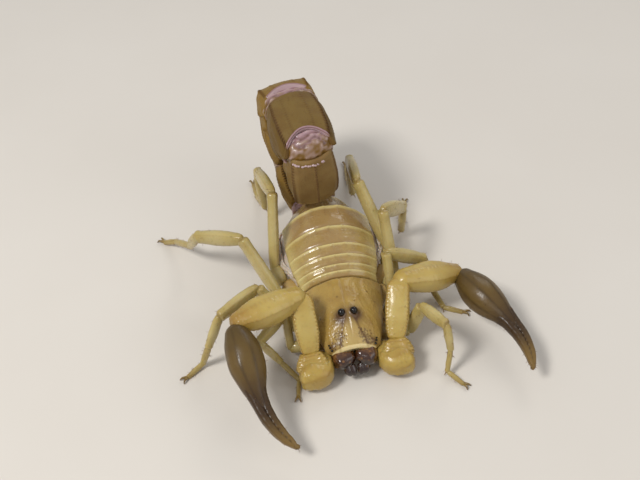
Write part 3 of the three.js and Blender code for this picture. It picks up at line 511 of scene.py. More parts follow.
frames = []
for y_row, flank in FLANK:
    edge = 0.985 * float(along_trunk(y_row, TERGITE_HALF_WIDTHS))
    half = min(flank, edge)
    shoulder = float(back_surface(edge, y_row)) + (0.1 if y_row < 13 else -0.4)
    low = FRONT_BELLY_Z if y_row < 9 else BELLY_Z
    row = []
    for spot_x in half * np.sin(np.pi / 8 * np.arange(-4, 5)):
        row.append([spot_x, y_row, float(back_surface(spot_x, y_row)) - 0.5])
    sides = [[half, shoulder], [flank + 0.45, 0.7 * shoulder + 0.3 * low], [flank - 0.5, low + 0.4],
             [flank - 2.2, low]]
    row += [[a, y_row, b] for a, b in sides] + [[0, y_row, low - 0.1]]
    frames.append(row + [[-a, y_row, b] for a, b in reversed(sides)])
turns, rings = closed_curve(np.array(frames).transpose(1, 0, 2), 220)
rings = smooth_through(np.array(FLANK)[:, 0], rings.transpose(1, 0, 2), np.linspace(0.3, 17.2, 170))
turn = np.broadcast_to(turns, rings.shape[:2])
x, y = np.abs(rings[..., 0]), rings[..., 1]
pleura = np.maximum(bell(turn - 9.3, 1.35), bell(turn - 16.7, 1.35))
folds = np.sin(2 * np.pi * (turn * 2.1 + 0.5 * ripple(rings, 2.6, 41))) * 0.5
folds += 0.6 * ripple(rings * [1, 2.2, 1], 1.1, 42)
under = within(turn, 9.9, 10.7, 15.3, 16.1)
seams = sum(bell(y - edge, 0.12) for edge in SEAMS) * under
slits = sum(bell(x - 4.2, 0.42) * bell(y - spot - 0.06 * x, 0.09) for spot in SLITS) * under
rings = raised(rings, 0.13 * folds * pleura - 0.12 * seams - 0.1 * slits)
belly_paint = cuticle("soft_flank", (206, 192, 176), (166, 142, 126), (190, 168, 110), 0.2,
                      gloss=0.32, coat=0.3, glow=0.25)
# The flanks' folds are darker in their troughs: painted shade.
belly = skin(rings, dark=0.9 * slits, pale=0.9 * under, tone=pleura * (0.1 - 0.3 * folds))
add_piece("belly_and_flanks", [belly], belly_paint, ["belly"])

# ------------------------------------------------------------------ underside of the head
# The hip joints of the four pairs of legs, broad smooth cones that meet under the head, round a core
# with a darker line along its middle.
COXA_ENDS = [[6.4, -6.9, 2.1], [6.0, -4.0, 2.6], [7.0, 0.8, 3.0], [7.7, 4.6, 3.1]]


def limb(path, widths, heights, rows, columns, power=2.3, ends=(0.4, 0.4), shares=None, add=None):
    """Rings carried along a smooth path: ovals with a half width across and a half height upright, both
    smooth along the path, the ends drawn in to a round, and ridges added to the radius."""
    u = np.linspace(0, 1, rows)
    t = 0.35 * u + 0.65 * (0.5 - 0.5 * np.cos(np.pi * u))
    centre = smooth_through(np.linspace(0, 1, len(path)) if shares is None else shares, path, t)
    across, upright = (smooth_through(np.linspace(0, 1, len(v)), v, t)[:, None] for v in (widths, heights))
    run = unit(np.gradient(centre, t, axis=0))
    side = np.cross([0.0, 0.0, 1.0], run)
    length = np.linalg.norm(side, axis=1)[:, None]
    side = np.where(length < 0.05, [1.0, 0.0, 0.0], side / np.maximum(length, 1e-6))
    up = np.cross(run, side)
    walked = np.concatenate([[0], np.cumsum(np.linalg.norm(np.diff(centre, axis=0), axis=1))])
    angle = np.linspace(0, 2 * np.pi, columns, endpoint=False)
    far, turn = np.meshgrid(t, angle, indexing="ij")
    c, s = (np.sign(v) * np.abs(v) ** (2 / power) for v in (np.cos(angle), np.sin(angle)))
    more = 1.0
    if add is not None:
        more = 1 + add(far, turn, walked[-1]) / np.maximum(np.hypot(across * c, upright * s), 1e-6)
    for reach, gone in ((ends[0], walked), (ends[1], walked[-1] - walked)):
        more = more * np.sqrt(np.clip(1 - (1 - np.clip(gone / reach, 0, 1)) ** 2, 4e-4, 1))[:, None]
    a, b = across * c * more, upright * s * more
    return centre[:, None] + side[:, None] * a[..., None] + up[:, None] * b[..., None], far, turn


core = []
for y_row in (2.6, 1.0, -0.4, -3.0, -6.0, -7.6):
    share = max(0.0, -y_row / CARAPACE_LENGTH)
    roof = float(carapace_rim(share)) - 0.3 - max(0.0, 0.25 * y_row)
    half = float(carapace_half_width(share)) - 0.9 - max(0.0, 0.6 * y_row)
    core.append([0, y_row, (roof + 1.6) / 2, half, (roof - 1.6) / 2])
core = np.array(core)
rings, far, turn = limb(core[:, :3], *core[:, 3:].T, 60, 60, 3.0, (0.5, 0.5))
hips = [skin(rings, tone=0.6 * bell(rings[..., 0], 0.4))]
for _, m in SIDES:
    for leg, coxa_end in enumerate(COXA_ENDS):
        end = np.array(coxa_end) * [m, 1, 1]
        start = np.array([m * 1.2, -5.4 + 0.9 * leg, 2.7])
        run = unit(end - start)
        middle = start + 0.6 * (end - 0.6 * run - start) + [0, 0, -0.35]
        size = 1.05 + 0.06 * leg
        rings, far, turn = limb([start, middle, end - 0.25 * run], [0.9, 1.3 * size, 0.9 * size],
                                [0.9, 1.15 * size, 0.95 * size], 46, 36, 2.4, (0.4, 0.5))
        dots = grains(rings, 60 + leg, 120, 0.13)
        hips.append(skin(raised(rings, 0.07 * dots), dark=0.35 * dots + 0.4 * bell(far - 0.97, 0.03)))
coxa_paint = cuticle("straw_hip", (182, 152, 90), (128, 90, 44), (216, 196, 150), 0.4)
add_piece("hips_and_breast", hips, coxa_paint, ["prosoma_underside"])

# Combs: two feathery feelers under the front of the belly, a jointed shaft with a row of flat teeth. The
# left one is paler.
COMB_TEETH = 24
COMB_ROOT, COMB_END = [0.9, 3.0, 1.15], [6.4, 6.6, 1.3]
comb_paint = cuticle("pale_comb", (208, 184, 128), (150, 112, 60), (226, 208, 160), 0.3)
for side, m in SIDES:
    inner, outer = np.array(COMB_ROOT) * [m, 1, 1], np.array(COMB_END) * [m, 1, 1]
    along = outer - inner
    back = m * np.array([-along[1], along[0], 0.0]) / np.linalg.norm(along)
    rings, far, turn = limb([inner, (inner + outer) / 2, outer], [0.66, 0.58, 0.34], [0.34, 0.3, 0.26],
                            60, 20)
    comb = [skin(raised(rings, -0.05 * bell(np.sin(far * 24), 0.25)), dark=0.3 * bell(np.sin(far * 24), 0.3))]
    for share in (np.arange(COMB_TEETH) + 0.5) / COMB_TEETH:
        root = inner + share * along + 0.2 * back
        tip = root + (1.3 - 0.4 * share) * back + [0, 0, -0.12]
        comb.append(skin(limb([root, tip], [0.11, 0.1], [0.2, 0.17], 7, 8)[0]))
    add_piece(f"comb_{side}", comb, comb_paint if m > 0 else coxa_paint, [f"pecten_{side}"])

# ------------------------------------------------------------------ jaws
# Two short swollen jaws under the front edge, brown with a dark network, each with two fingers that
# are toothed and dark at the tip.
jaw_paint = Paint("netted_jaw")
net = jaw_paint.between(jaw_paint.noise(0.5), 0.42, 0.58)
veins = jaw_paint.between(jaw_paint.cells(0.7), 0.14, 0.4)
brown = jaw_paint.mix(net, srgb(156, 108, 52), srgb(104, 64, 32))
brown = jaw_paint.mix((jaw_paint.value("tone") * (0.5 + 0.7 * veins)).limited(), brown, srgb(60, 33, 17))
jaw_paint.look({
    "Base Color": jaw_paint.mix(jaw_paint.value("dark").limited(), brown, srgb(26, 14, 9)),
    "Roughness": 0.12 + 0.16 * jaw_paint.noise(0.5),
    "Normal": jaw_paint.bump(jaw_paint.noise(0.3), 0.04),
    "Coat Weight": 0.6,
})


def jaw_teeth(far, turn, length):
    return 0.14 * bell(np.sin(far * 14), 0.5) * bell(turn - 4.7, 0.7)


for side, m in SIDES:
    body, far, turn = limb([[m * 1.5, -8.1, 2.6], [m * 1.54, -10.8, 2.9], [m * 1.08, -12.1, 2.4]],
                           [1.1, 1.56, 1.1], [0.95, 1.5, 1.0], 64, 52, 3.0, (0.4, 0.9))
    swelling = 0.06 * ripple(body, 1.0, 70) + 0.05 * grains(body, 71, 110, 0.12)
    jaws = [skin(raised(body, swelling), tone=fade(far, 0.3, 0.75), dark=0.8 * fade(far, 0.7, 0.95))]
    for reach, lift, thick in ((1.38, 0.1, 1.1), (0.74, -0.05, 1.05)):
        path = [[m * reach, -11.6, 2.4 + lift], [m * (reach - 0.2), -12.4, 1.9 + lift],
                [m * (reach - 0.42), -12.65, 1.2 + lift]]
        rings, far, turn = limb(path, [0.58 * thick, 0.48 * thick, 0.16], [0.66 * thick, 0.5 * thick, 0.18],
                                44, 22, 2.2, (0.2, 0.15), add=jaw_teeth)
        jaws.append(skin(rings, dark=0.5 + 0.5 * fade(far, 0.3, 0.8), tone=1.0))
    add_piece(f"jaw_{side}", jaws, jaw_paint, [f"chelicera_{side}"])

# ------------------------------------------------------------------ tail
# Five heavy box-shaped rings of ochre to olive cuticle with saw-toothed ridges, hollow between the two
# crests of the back. They are hinged low, and mauve skin shows where the curl opens them.
TAIL_SEGMENTS = [
    # length, width, depth, direction, depth of the arch under its far end
    (8.2, 8.6, 6.7, 33, 0.7),
    (10.2, 8.9, 7.2, 62, 0.9),
    (9.6, 9.2, 7.5, 147, 0.8),
    (10.8, 9.1, 7.4, 190, 2.7),
    (11.2, 7.6, 6.0, 285, 0.8),
]
TELSON_DIRECTION = 388
HINGE_DROP = 1.3
TAIL_BASE = np.array([-0.8, 18.2, 4.9])
TAIL_YAW, TAIL_LEAN = 7, 4
TRUNK_BEND = 24
GAP = 0.3
END_ROUNDING = 0.2
# half outline of a ring, a unit wide and deep, from the hollow of the back to the underside
TAIL_OUTLINE = np.array([
    [0.0, 0.30], [0.22, 0.33], [0.385, 0.485], [0.45, 0.39], [0.485, 0.27], [0.482, 0.10], [0.492, -0.06],
    [0.47, -0.22], [0.44, -0.36], [0.37, -0.468], [0.28, -0.498], [0.18, -0.515], [0.08, -0.523],
    [0.0, -0.526],
])
OUTLINE_POINTS = 2 * len(TAIL_OUTLINE) - 2
# corner of the outline and strength of the toothed ridge on it, for the first four rings and the last
RING_RIDGES = [(2, 1.0), (4, 0.35), (6, 0.25), (9, 0.75), (11, 0.16)]
LAST_RING_RIDGES = [(2, 0.8), (4, 0.2), (8.2, 0.8), (13, 0.6)]
TOOTH_PITCH = 0.56
# the last ring's beads that are painted pale as highlights: how many, and the seed for their places
GLINT_BEAD_COUNT, GLINT_BEAD_SEED = 34, 160


def turned(axis, degrees):
    """A turn about one axis as a numpy matrix."""
    return np.array(Matrix.Rotation(math.radians(degrees), 3, axis))


def curve3(t, start, middle, end):
    """A parabola through three values at t = 0, a half and 1."""
    return start * (2 * t - 1) * (t - 1) + 4 * middle * t * (1 - t) + end * t * (2 * t - 1)


def tail_rings(segment, bend_before, bend_after, lift, ridges, seed):
    """Rings of a tail segment: the outline above, wider in the middle, cut back above the hinges by
    half of each bend, notched below, with teeth on its ridges and grains between them."""
    length, width, depth, _, notch = segment
    turn, around = closed_curve(np.concatenate([TAIL_OUTLINE, TAIL_OUTLINE[-2:0:-1] * [-1, 1]]), 208)
    u = np.linspace(0, 1, 130)
    t, turn = np.meshgrid(0.4 * u + 0.6 * (0.5 - 0.5 * np.cos(np.pi * u)), turn, indexing="ij")
    wide, deep = curve3(t, 0.87, 1.0, 0.92) * width, curve3(t, 0.84, 1.02, 0.95) * depth
    x, z = around[:, 0] * wide, around[:, 1] * deep
    crest = np.maximum(z - 0.3 * deep, 0)
    z = z - 0.5 * crest * (1 - fade(t, 0.0, 0.1))
    from_end = np.minimum(t, 1 - t) * length
    drawn = np.sqrt(np.clip(1 - (1 - np.clip(from_end / 0.4, 0, 1)) ** 2, 0, 1)) * 0.09 + 0.91
    x, z = x * drawn, z * drawn
    rounder = END_ROUNDING * deep * (2 * x / wide) ** 2 * (2 * t - 1) ** 2
    z = np.minimum(z + np.where(z < 0, rounder, 0), np.maximum(z, 0))
    rise = np.maximum(z + HINGE_DROP, 0)
    start_cut, end_cut = (math.tan(math.radians(bend / 2)) for bend in (bend_before, bend_after))
    y = GAP / 2 + (length - GAP) * t + rise * (start_cut * (1 - t) ** 1.5 - end_cut * t**1.5)
    below = fade(-z / depth, 0.1, 0.42) * np.clip(1 - (np.abs(x) / (0.43 * width)) ** 2, 0, 1)
    y = y - notch * below * t**3
    inside = within(t, 0.02, 0.09, 0.955, 1.0)
    ridge = np.zeros_like(t)
    for i, strength in ridges:
        apart = np.minimum(np.abs(turn - i), np.abs(turn - (OUTLINE_POINTS - i)))
        teeth = beads(t * length + 0.3 * i, TOOTH_PITCH, 0.2)
        ridge = np.maximum(ridge, strength * bell(apart, 0.26) * teeth * (0.75 + 0.5 * t) * inside)
    rings = np.stack([x, y, z + lift], axis=-1)
    dots = grains(rings, seed, 200, 0.12) * (1 - 0.8 * fade(z / depth, 0.2, 0.3)) * inside
    height = 0.3 * ridge + 0.035 * dots + 0.05 * ripple(rings, 2.4, seed)
    return raised(rings, height * inside + 0.09 * bell(1 - t - 0.025, 0.012)), t, turn, ridge, dots


def skin_bridge(near, near_run, far, far_run, widths, heights, side, seed):
    """Folded skin between two tail rings: a soft tube along a curve that leaves one and enters the
    other squarely."""
    u = np.linspace(0, 1, 80)[:, None]
    reach = max(0.45 * float(np.linalg.norm(far - near)), 0.3)
    before, after = near + near_run * reach, far - far_run * reach
    spine = near * (1 - u) ** 3 + 3 * before * u * (1 - u) ** 2 + 3 * after * u**2 * (1 - u) + far * u**3
    run = unit(np.gradient(spine, axis=0))
    up = np.cross(np.broadcast_to(side, run.shape), run)
    angle = np.linspace(0, 2 * np.pi, 90, endpoint=False)
    c, s = (np.sign(v) * np.abs(v) ** 0.75 for v in (np.cos(angle), np.sin(angle)))
    wide, deep = ((first + (last - first) * u)[..., None] for first, last in (widths, heights))
    rings = spine[:, None] + side * wide * c[:, None] + up[:, None] * deep * s[:, None]
    folds = 0.6 * np.sin(u * 40 + ripple(rings, 2.2, seed) * 2.6) + 0.6 * ripple(rings, 0.8, seed + 1)
    return raised(rings, 0.15 * folds), folds


TAIL_LOOKS = [
    ("ochre_tail", (136, 108, 54), (104, 70, 38), (134, 104, 46), 0.3),
    ("olive_tail", (118, 95, 52), (84, 48, 30), (102, 78, 35), 0.25),
    ("umber_tail", (144, 118, 73), (94, 58, 38), (122, 96, 50), 0.25),
]
tail_paint, dark_tail_paint, last_tail_paint = (
    cuticle(*look, gloss=0.48, coat=0.02, shine=0.1) for look in TAIL_LOOKS)
ring_paints = [tail_paint, tail_paint, tail_paint, dark_tail_paint, last_tail_paint]
# Its pale colour also serves as painted highlights on the skin's folds and on the last ring's beads.
hinge_paint = cuticle("mauve_hinge_skin", (160, 126, 130), (118, 84, 24), (200, 174, 174), 0.1,
                      gloss=0.26, coat=0.3, glow=0.05, shadow=1.0)
place, pose = TAIL_BASE, turned("Y", -TAIL_LEAN) @ turned("Z", TAIL_YAW)
directions = [TAIL_SEGMENTS[0][3] - TRUNK_BEND, *(segment[3] for segment in TAIL_SEGMENTS), TELSON_DIRECTION]
tail_frames, collars, bridges = [], [], []
for i, segment in enumerate(TAIL_SEGMENTS):
    last_ring = i == 4
    bend_before, bend_after = np.diff(directions)[i:i + 2]
    if i:
        place = place + pose @ [0, TAIL_SEGMENTS[i - 1][0], -HINGE_DROP if i == 1 else 0.0]
    pose = pose @ turned("X", bend_before if i else segment[3])
    lift = HINGE_DROP if i else 0.0
    tail_frames.append((place, pose, lift))
    rings, t, turn, ridge, dots = tail_rings(segment, bend_before, bend_after, lift,
                                             LAST_RING_RIDGES if last_ring else RING_RIDGES, 100 + i)
    rings = rings @ pose.T + place
    edge = 8.2 if last_ring else 9
    under = within(turn, edge - 0.4, edge + 0.4, 25.6 - edge, 26.4 - edge)
    rim = bell(1 - t, 0.02) + 0.6 * bell(t, 0.015)
    tone = (0.2 if last_ring else 0.1) * under * (1 - 0.6 * t) + 0.2 * ripple(rings, 4.0, 120 + i)
    tone += 0.5 * rim + 0.5 * bell(ridge - 0.3, 0.3) * (ridge > 0.1)
    pale = np.clip(0.75 * (1 - under) + 0.12 * ripple(rings, 3.0, 125), 0, 1) * (1 - 0.8 * rim.clip(0, 1))
    add_piece(f"tail_ring_{i + 1}", [skin(
        rings, dark=np.minimum(1.1 * ridge + 0.16 * dots, 0.85), pale=pale, tone=tone,
    )], ring_paints[i], [f"tail_segment_{i + 1}"])
    if last_ring:
        # small beads along its front edge, painted pale as highlights
        chance = np.random.default_rng(GLINT_BEAD_SEED)
        offset = (rings - place) @ pose[:, 0]
        allowed = np.argwhere((np.abs(t - 0.065) < 0.012) & (under > 0.9) & (np.abs(offset + 0.9) < 2.4))
        for row, column in allowed[chance.choice(len(allowed), GLINT_BEAD_COUNT)]:
            collars.append(skin(ball(rings[row, column], chance.uniform(0.07, 0.2), 8, 10), pale=0.8))
        continue
    # a soft welt round its rear edge, with painted shade in the groove between its two rolls and a painted
    # shadow along its edge towards the ring's face
    across = np.linspace(-1, 1, 16)[:, None]
    share = 0.98 + 0.02 * across[:, 0] if i == 3 else 0.99 + 0.01 * across[:, 0]
    collar = smooth_through(np.arange(len(t)), rings, np.interp(share, t[:, 0], np.arange(len(t))))
    under = under[:16]
    welt = np.abs(np.sin(np.pi * across)) ** 0.7 * np.sqrt(1 - across**2 + 1e-3)
    collar = raised(collar, (0.09 + (0.2 if i == 3 else 0.07) * welt) * under - 0.07)
    collars.append(skin(collar, tone=1 - under, pale=0.6 * fade(across, 0.1, 0.4) * under,
                        dark=(0.45 * bell(across, 0.16) + 0.3 * bell(across + 0.95, 0.15)) * under))
for i, (length, width, depth, *_) in enumerate(TAIL_SEGMENTS[:4]):
    place, pose, lift = tail_frames[i]
    next_place, next_pose, next_lift = tail_frames[i + 1]
    next_width, next_depth = TAIL_SEGMENTS[i + 1][1:3]
    near = place + pose @ [0, length - 3.2, lift - 0.2]
    far = next_place + next_pose @ [0, 1.2, next_lift - 0.05]
    rings, folds = skin_bridge(near, pose[:, 1], far, next_pose[:, 1], [0.455 * width, 0.43 * next_width],
                               [0.43 * depth, 0.335 * next_depth], pose[:, 0], 130 + i)
    toward = np.linspace(0, 1, len(rings))[:, None]
    off_middle = np.abs((rings - rings.mean(axis=1, keepdims=True)) @ pose[:, 0]) / (0.43 * width)
    # The skin turns from mauve to golden brown towards the next ring. Its folds get painted highlights on
    # their crests, strongest near the ring before, and painted shade in their troughs towards the next ring.
    bridges.append(skin(rings, tone=fade(toward + 0.12 * off_middle**2 + 0.12 * folds, 0.7, 0.8),
                        pale=np.minimum(1.2 * folds * (1.2 - toward), 0.7),
                        dark=np.minimum(-0.8 * folds * fade(toward, 0.5, 0.65), 0.7)))
place, pose, _ = tail_frames[0]
trunk_end, into_ring = TAIL_BASE + [0, -1.6, 0.35], place + pose @ [0, 1.0, -0.1]
rings, folds = skin_bridge(trunk_end, np.array([0.0, 1.0, 0.1]), into_ring, pose[:, 1],
                           [3.5, 3.3], [2.3, 2.3], np.array([1.0, 0.0, 0.0]), 140)
# The skin between trunk and tail is darker in the troughs of its folds: painted shade.
bridges.append(skin(rings, tone=0.3 - 0.5 * folds))
add_piece("tail_hinge_skin", bridges + collars, hinge_paint)

# ------------------------------------------------------------------ venom bulb and sting
# A pear-shaped bulb on a short neck, with rows of low grains beneath, and a hard curved sting, nearly
# black at its point.
VESICLE_LENGTH, VESICLE_WIDTH, VESICLE_DEPTH = 4.6, 4.2, 3.9
STING_LENGTH, STING_CURL = 3.6, 90
place, pose, lift = tail_frames[4]
place = place + pose @ [0, TAIL_SEGMENTS[4][0], lift]
pose = pose @ turned("X", TELSON_DIRECTION - TAIL_SEGMENTS[4][3])
t, turn = np.meshgrid(np.linspace(0, 1, 90), np.linspace(0, 2 * np.pi, 90, endpoint=False), indexing="ij")
full = smooth_through([0, 0.14, 0.32, 0.55, 0.8, 1], [0.34, 0.56, 0.88, 1, 0.84, 0.44], t)
full = full * np.sqrt(np.clip(1 - np.abs(2 * t - 1) ** 18, 4e-3, 1))
rings = np.stack([full * VESICLE_WIDTH / 2 * np.cos(turn), 0.5 + (VESICLE_LENGTH - 0.5) * t,
                  full * (VESICLE_DEPTH / 2 * np.sin(turn) - 0.25)], axis=-1)
grain_rows = sum(bell(turn - a, 0.1) for a in (3.9, 4.35, 4.71, 5.08, 5.5))
grain_rows = grain_rows * beads(t * 4.6, 0.5, 0.4) * within(t, 0.12, 0.3, 0.8, 0.95)
rings = raised(rings, 0.1 * grain_rows + 0.04 * ripple(rings, 1.5, 150)) @ pose.T + place
add_piece("venom_bulb", [skin(rings, dark=0.5 * grain_rows, tone=0.5 * fade(t, 0.6, 1.0))],
          dark_tail_paint, ["telson_vesicle"])
droop = math.radians(STING_CURL) * np.linspace(0, 1, 12)
bend_radius = STING_LENGTH / math.radians(STING_CURL)
path = np.stack([0 * droop, VESICLE_LENGTH + 0.1 + bend_radius * np.sin(droop),
                 -0.2 - bend_radius * (1 - np.cos(droop))], axis=-1) @ pose.T + place
radii = 0.86 + (0.2 - 0.86) * np.linspace(0, 1, 6) ** 0.8
rings, far, turn = limb(path, radii, radii, 60, 28, 2.0, (0.3, 0.3))
sting_paint = cuticle("dark_sting", (70, 44, 24), (24, 14, 8), (130, 94, 50), 0.4, gloss=0.15, coat=0.7)
add_piece("sting", [skin(rings, tone=fade(far, 0.2, 0.9), dark=fade(far, 0.6, 1.0))],
          sting_paint, ["telson_sting"])

# ------------------------------------------------------------------ walking legs
# Eight legs of straw-yellow cuticle, one object each: hip ring, flattened thigh and knee with fine
# ridges, round shin, two-part foot with spurs, and a pair of small dark claws on the ground.
LEG_THICKNESS = [0.86, 0.95, 1.05, 1.1]
# of the hip ring, thigh, knee, shin and two foot parts: lengths, half heights and half widths at the
# start, middle and end, and the number and length of bristles
LEG_LENGTHS = [
    [2.0, 5.4, 5.3, 4.4, 3.4, 2.8],
    [2.1, 7.4, 6.8, 5.2, 4.0, 2.9],
    [2.2, 9.6, 8.0, 6.2, 5.0, 3.1],
    [2.6, 11.2, 8.8, 7.7, 6.1, 3.5],
]
LEG_HEIGHTS = np.array([(0.7, 1.05, 0.95), (0.95, 1.12, 0.9), (0.8, 1.15, 0.8), (0.68, 0.78, 0.52),
                        (0.5, 0.52, 0.42), (0.4, 0.44, 0.36)])
LEG_WIDTHS = np.array([(0.65, 0.95, 0.8), (0.7, 0.72, 0.65), (0.62, 0.74, 0.56), (0.52, 0.56, 0.45),
                       (0.42, 0.44, 0.38), (0.36, 0.38, 0.32)])
LEG_HAIRS = [(2, 0.3), (6, 0.4), (10, 0.45), (14, 0.5), (16, 0.45), (18, 0.35)]
# heading and pitch of each part in degrees, then the heading of the last; 0 points to the left, 90 back
STANCE = {
    "right": [
        [(165, -6), (92, 67), (-145, -20), (-32, -48), (-48, -27), -101],
        [(160, 20), (150, 54), (-146, -2), (-152, -61), (163, -70), -146],
        [(155, 30), (125, 45), (148, -14), (114, -53), (122, -27), 138],
        [(115, 30), (78, 52), (100, -18), (20, -86), (100, -24), 95],
    ],
    "left": [
        [(-10, 4), (-14, 71), (-66, 12), (-63, -77), (-120, -68), -49],
        [(50, 25), (95, 64), (8, -31), (-41, -79), (-72, -16), -28],
        [(35, 40), (97, 60), (50, -36), (90, -78), (75, -17), 70],
        [(65, 30), (115, 48), (88, -18), (60, -84), (88, -18), 85],
    ],
}
FOOT_REST_Z = 0.21
LEG_EDGES = (0.85, 2.29, 3.99, 5.43)
# joint and size of the pairs of spurs; the two front pairs of legs have only the first
SPURS = [(5, 1.0), (4, 0.9)]
hairs = []


def aim(heading, pitch):
    """Unit vector of a heading and a pitch in degrees."""
    a, b = math.radians(heading), math.radians(pitch)
    return np.array([math.cos(b) * math.cos(a), math.cos(b) * math.sin(a), math.sin(b)])


def nearest(turn, angles):
    """Distance round a limb from the nearest of the angles."""
    return np.min([np.abs(turn - a) for a in angles], axis=0)


def strew_hairs(rings, seed, count, size):
    """Roots, outward directions and lengths of hairs, drawn at random on a surface and leaning along it."""
    chance = np.random.default_rng(seed)
    rows, columns = rings.shape[:2]
    i = chance.integers(2, rows - 2, count)
    j = chance.integers(0, columns, count)
    root = rings[i, j]
    out = unit(root - rings[i].mean(axis=1))
    run = unit(rings[np.minimum(i + 1, rows - 1)].mean(axis=1) - rings[i - 1].mean(axis=1))
    lean = unit(out + 0.55 * run + 0.25 * chance.normal(size=out.shape))
    hairs.append((root, lean, size * chance.uniform(0.6, 1.3, count)))


def leg_part(k, start, end, scale, seed):
    """One part of a leg: a tube from joint to joint, waisted behind its root and swollen at its far
    end, with four fine ridges on the flattened parts. Gives its dark ridges and joints too."""
    heights, widths = scale * LEG_HEIGHTS[k], scale * LEG_WIDTHS[k]
    run = unit(end - start)
    flat = k in (1, 2)
    edge_height = scale * (0.0, 0.07, 0.07, 0.03, 0.0, 0.0)[k]

    def shape(far, turn, length):
        waist = -0.16 * bell(far, 0.1) + 0.07 * bell(far - 0.93, 0.05)
        edges = bell(nearest(turn, LEG_EDGES), 0.12) * beads(far * length, 0.4, 0.45)
        return waist * heights[1] + edge_height * edges

    past = 0.0 if k == 5 else 0.25 * heights[2]
    rings, far, turn = limb([start - 0.45 * heights[0] * run, (start + end) / 2, end + past * run],
                            widths, heights, 56, 36, 2.6 if flat else 2.2,
                            (0.5 * heights[0], 0.5 * heights[2]), add=shape)
    rings = raised(rings, 0.02 * ripple(rings, 0.8, seed))
    rings[..., 2] = np.maximum(rings[..., 2], 0.0)
    ridge = (0.32 if flat else 0.096) * bell(nearest(turn, LEG_EDGES), 0.12) * beads(far * 6, 0.4, 0.4)
    return rings, far, ridge, 0.75 * bell(far - 0.985, 0.02) + 0.5 * bell(far - 0.02, 0.035)


def spike(points, sizes, rows, columns, ends):
    """Rings of a claw or a spur, tapering from the first size to the last, and the way along it."""
    return limb(points, *sizes, rows, columns, 2.0, ends)[:2]


leg_paint = cuticle("straw_leg", (178, 158, 94), (144, 112, 54), (204, 188, 136), 0.25,
                    gloss=0.25, coat=0.4, glow=0.2, grain=0.016)
for side, m in SIDES[::-1]:
    for i, (lengths, scale, (*stance, heading)) in enumerate(zip(LEG_LENGTHS, LEG_THICKNESS, STANCE[side])):
        joints = [np.array(COXA_ENDS[i]) * [m, 1, 1]]
        for length, angles in zip(lengths, stance):
            joints.append(joints[-1] + length * aim(*angles))
        sole = math.degrees(math.asin((FOOT_REST_Z - joints[-1][2]) / lengths[-1]))
        toe = joints[-1] + lengths[-1] * aim(heading, sole)
        joints.append(toe)
        leg = []
        for k, (count, size) in enumerate(LEG_HAIRS):
            rings, far, ridge, joint = leg_part(k, joints[k], joints[k + 1], scale, 200 + 10 * i + k)
            tip = 0.5 * fade(k + far, 5.2, 6.0)
            tone = joint + ridge + 0.25 * (k > 3) + tip
            leg.append(skin(rings, dark=0.5 * ridge + 0.35 * joint + 0.3 * tip, tone=tone,
                            pale=0.35 * bell(far - 0.5, 0.25) * (k < 4)))
            strew_hairs(rings, 300 + 60 * i + 7 * k + m, count, size)
        for spread in (1, -1):
            first = toe + 0.75 * scale * aim(heading + spread * 24, 24)
            second = first + 0.6 * scale * aim(heading + spread * 30, -38)
            second[2] = max(second[2], 0.12)
            rings, far = spike([toe - 0.3 * aim(heading, 0), first, second],
                               ([0.2, 0.15, 0.06], [0.22, 0.17, 0.06]), 16, 10, (0.1, 0.08))
            rings[..., 2] = np.maximum(rings[..., 2], 0.0)
            leg.append(skin(rings, dark=0.35 + 0.6 * fade(far, 0.2, 0.7), tone=1.0))
            for k, size in SPURS[:2 if i > 1 else 1]:
                run = unit(joints[k] - joints[k - 1])
                across = unit(np.cross(run, [0, 0, 1.0]))
                root = joints[k] - 0.1 * run
                point = root + scale * size * (0.75 * run + 0.42 * spread * across - [0, 0, 0.35])
                point[2] = max(point[2], 0.08)
                rings, far = spike([root, point], [[0.13 * scale, 0.04]] * 2, 12, 8, (0.05, 0.05))
                leg.append(skin(rings, dark=0.3 + 0.5 * far, tone=1.0))
        add_piece(f"leg_{i + 1}_{side}", leg, leg_paint,
                  [f"leg_{i + 1}_{side}_{part}" for part in ("femur", "patella", "foot")])

# ------------------------------------------------------------------ pincer arms
# Two strong arms: a frilled root, a four-edged upper arm and a swollen forearm of yellow cuticle with
# rows of dark grains on their edges, and slender olive-brown pincers with long, toothed fingers.
PALP_BASE = [3.3, -8.6, 2.4]
# length, and heading and pitch on each side, of the root, upper arm, forearm and pincer
PALP_LENGTHS = [3.2, 9.0, 10.2, 18.2]
PALP_STANCE = {
    "right": [(-145, 14), (92, 49), (-160, 3), (-69, -24)],
    "left": [(-37, 13), (74, 37), (15, -17), (-73, -6)],
}
# the root's middle line, half widths and half heights, and those of the lobe that carries the upper arm
PALP_ROOT = np.array([[3.9, -9.0, 2.2, 0.9, 1.0], [4.3, -11.0, 2.3, 1.3, 1.5], [5.0, -12.05, 2.4, 1.8, 1.75],
                      [6.5, -12.15, 2.45, 1.85, 1.8], [7.8, -12.0, 2.5, 1.6, 1.6]])
PALP_LOBE_START = [5.85, -11.85, 2.35]
PALP_LOBE_WIDTHS, PALP_LOBE_HEIGHTS = [1.85, 2.25, 2.1, 1.75, 1.45], [1.1, 1.45, 1.5, 1.45, 1.25]
HAND_SIZE, PALM_END, CHELA_BOW = 5.0, 0.66, 1.6
PALM_SHARES = [0.0, 0.06, 0.14, 0.24, 0.33, 0.42, 0.5, 0.58, PALM_END]
PALM_HALF_WIDTHS = [0.2, 0.3, 0.42, 0.485, 0.48, 0.4, 0.3, 0.215, 0.13]
PALM_HALF_DEPTHS = [0.2, 0.3, 0.42, 0.485, 0.47, 0.39, 0.29, 0.2, 0.12]
FINGER_SHARES = np.array([0.3, 0.42, 0.5, 0.58, 0.72, 0.86, 0.95, 1.0])
FINGER_HALF_WIDTHS = np.array([1.0, 0.95, 0.8, 0.66, 0.57, 0.46, 0.35, 0.24])
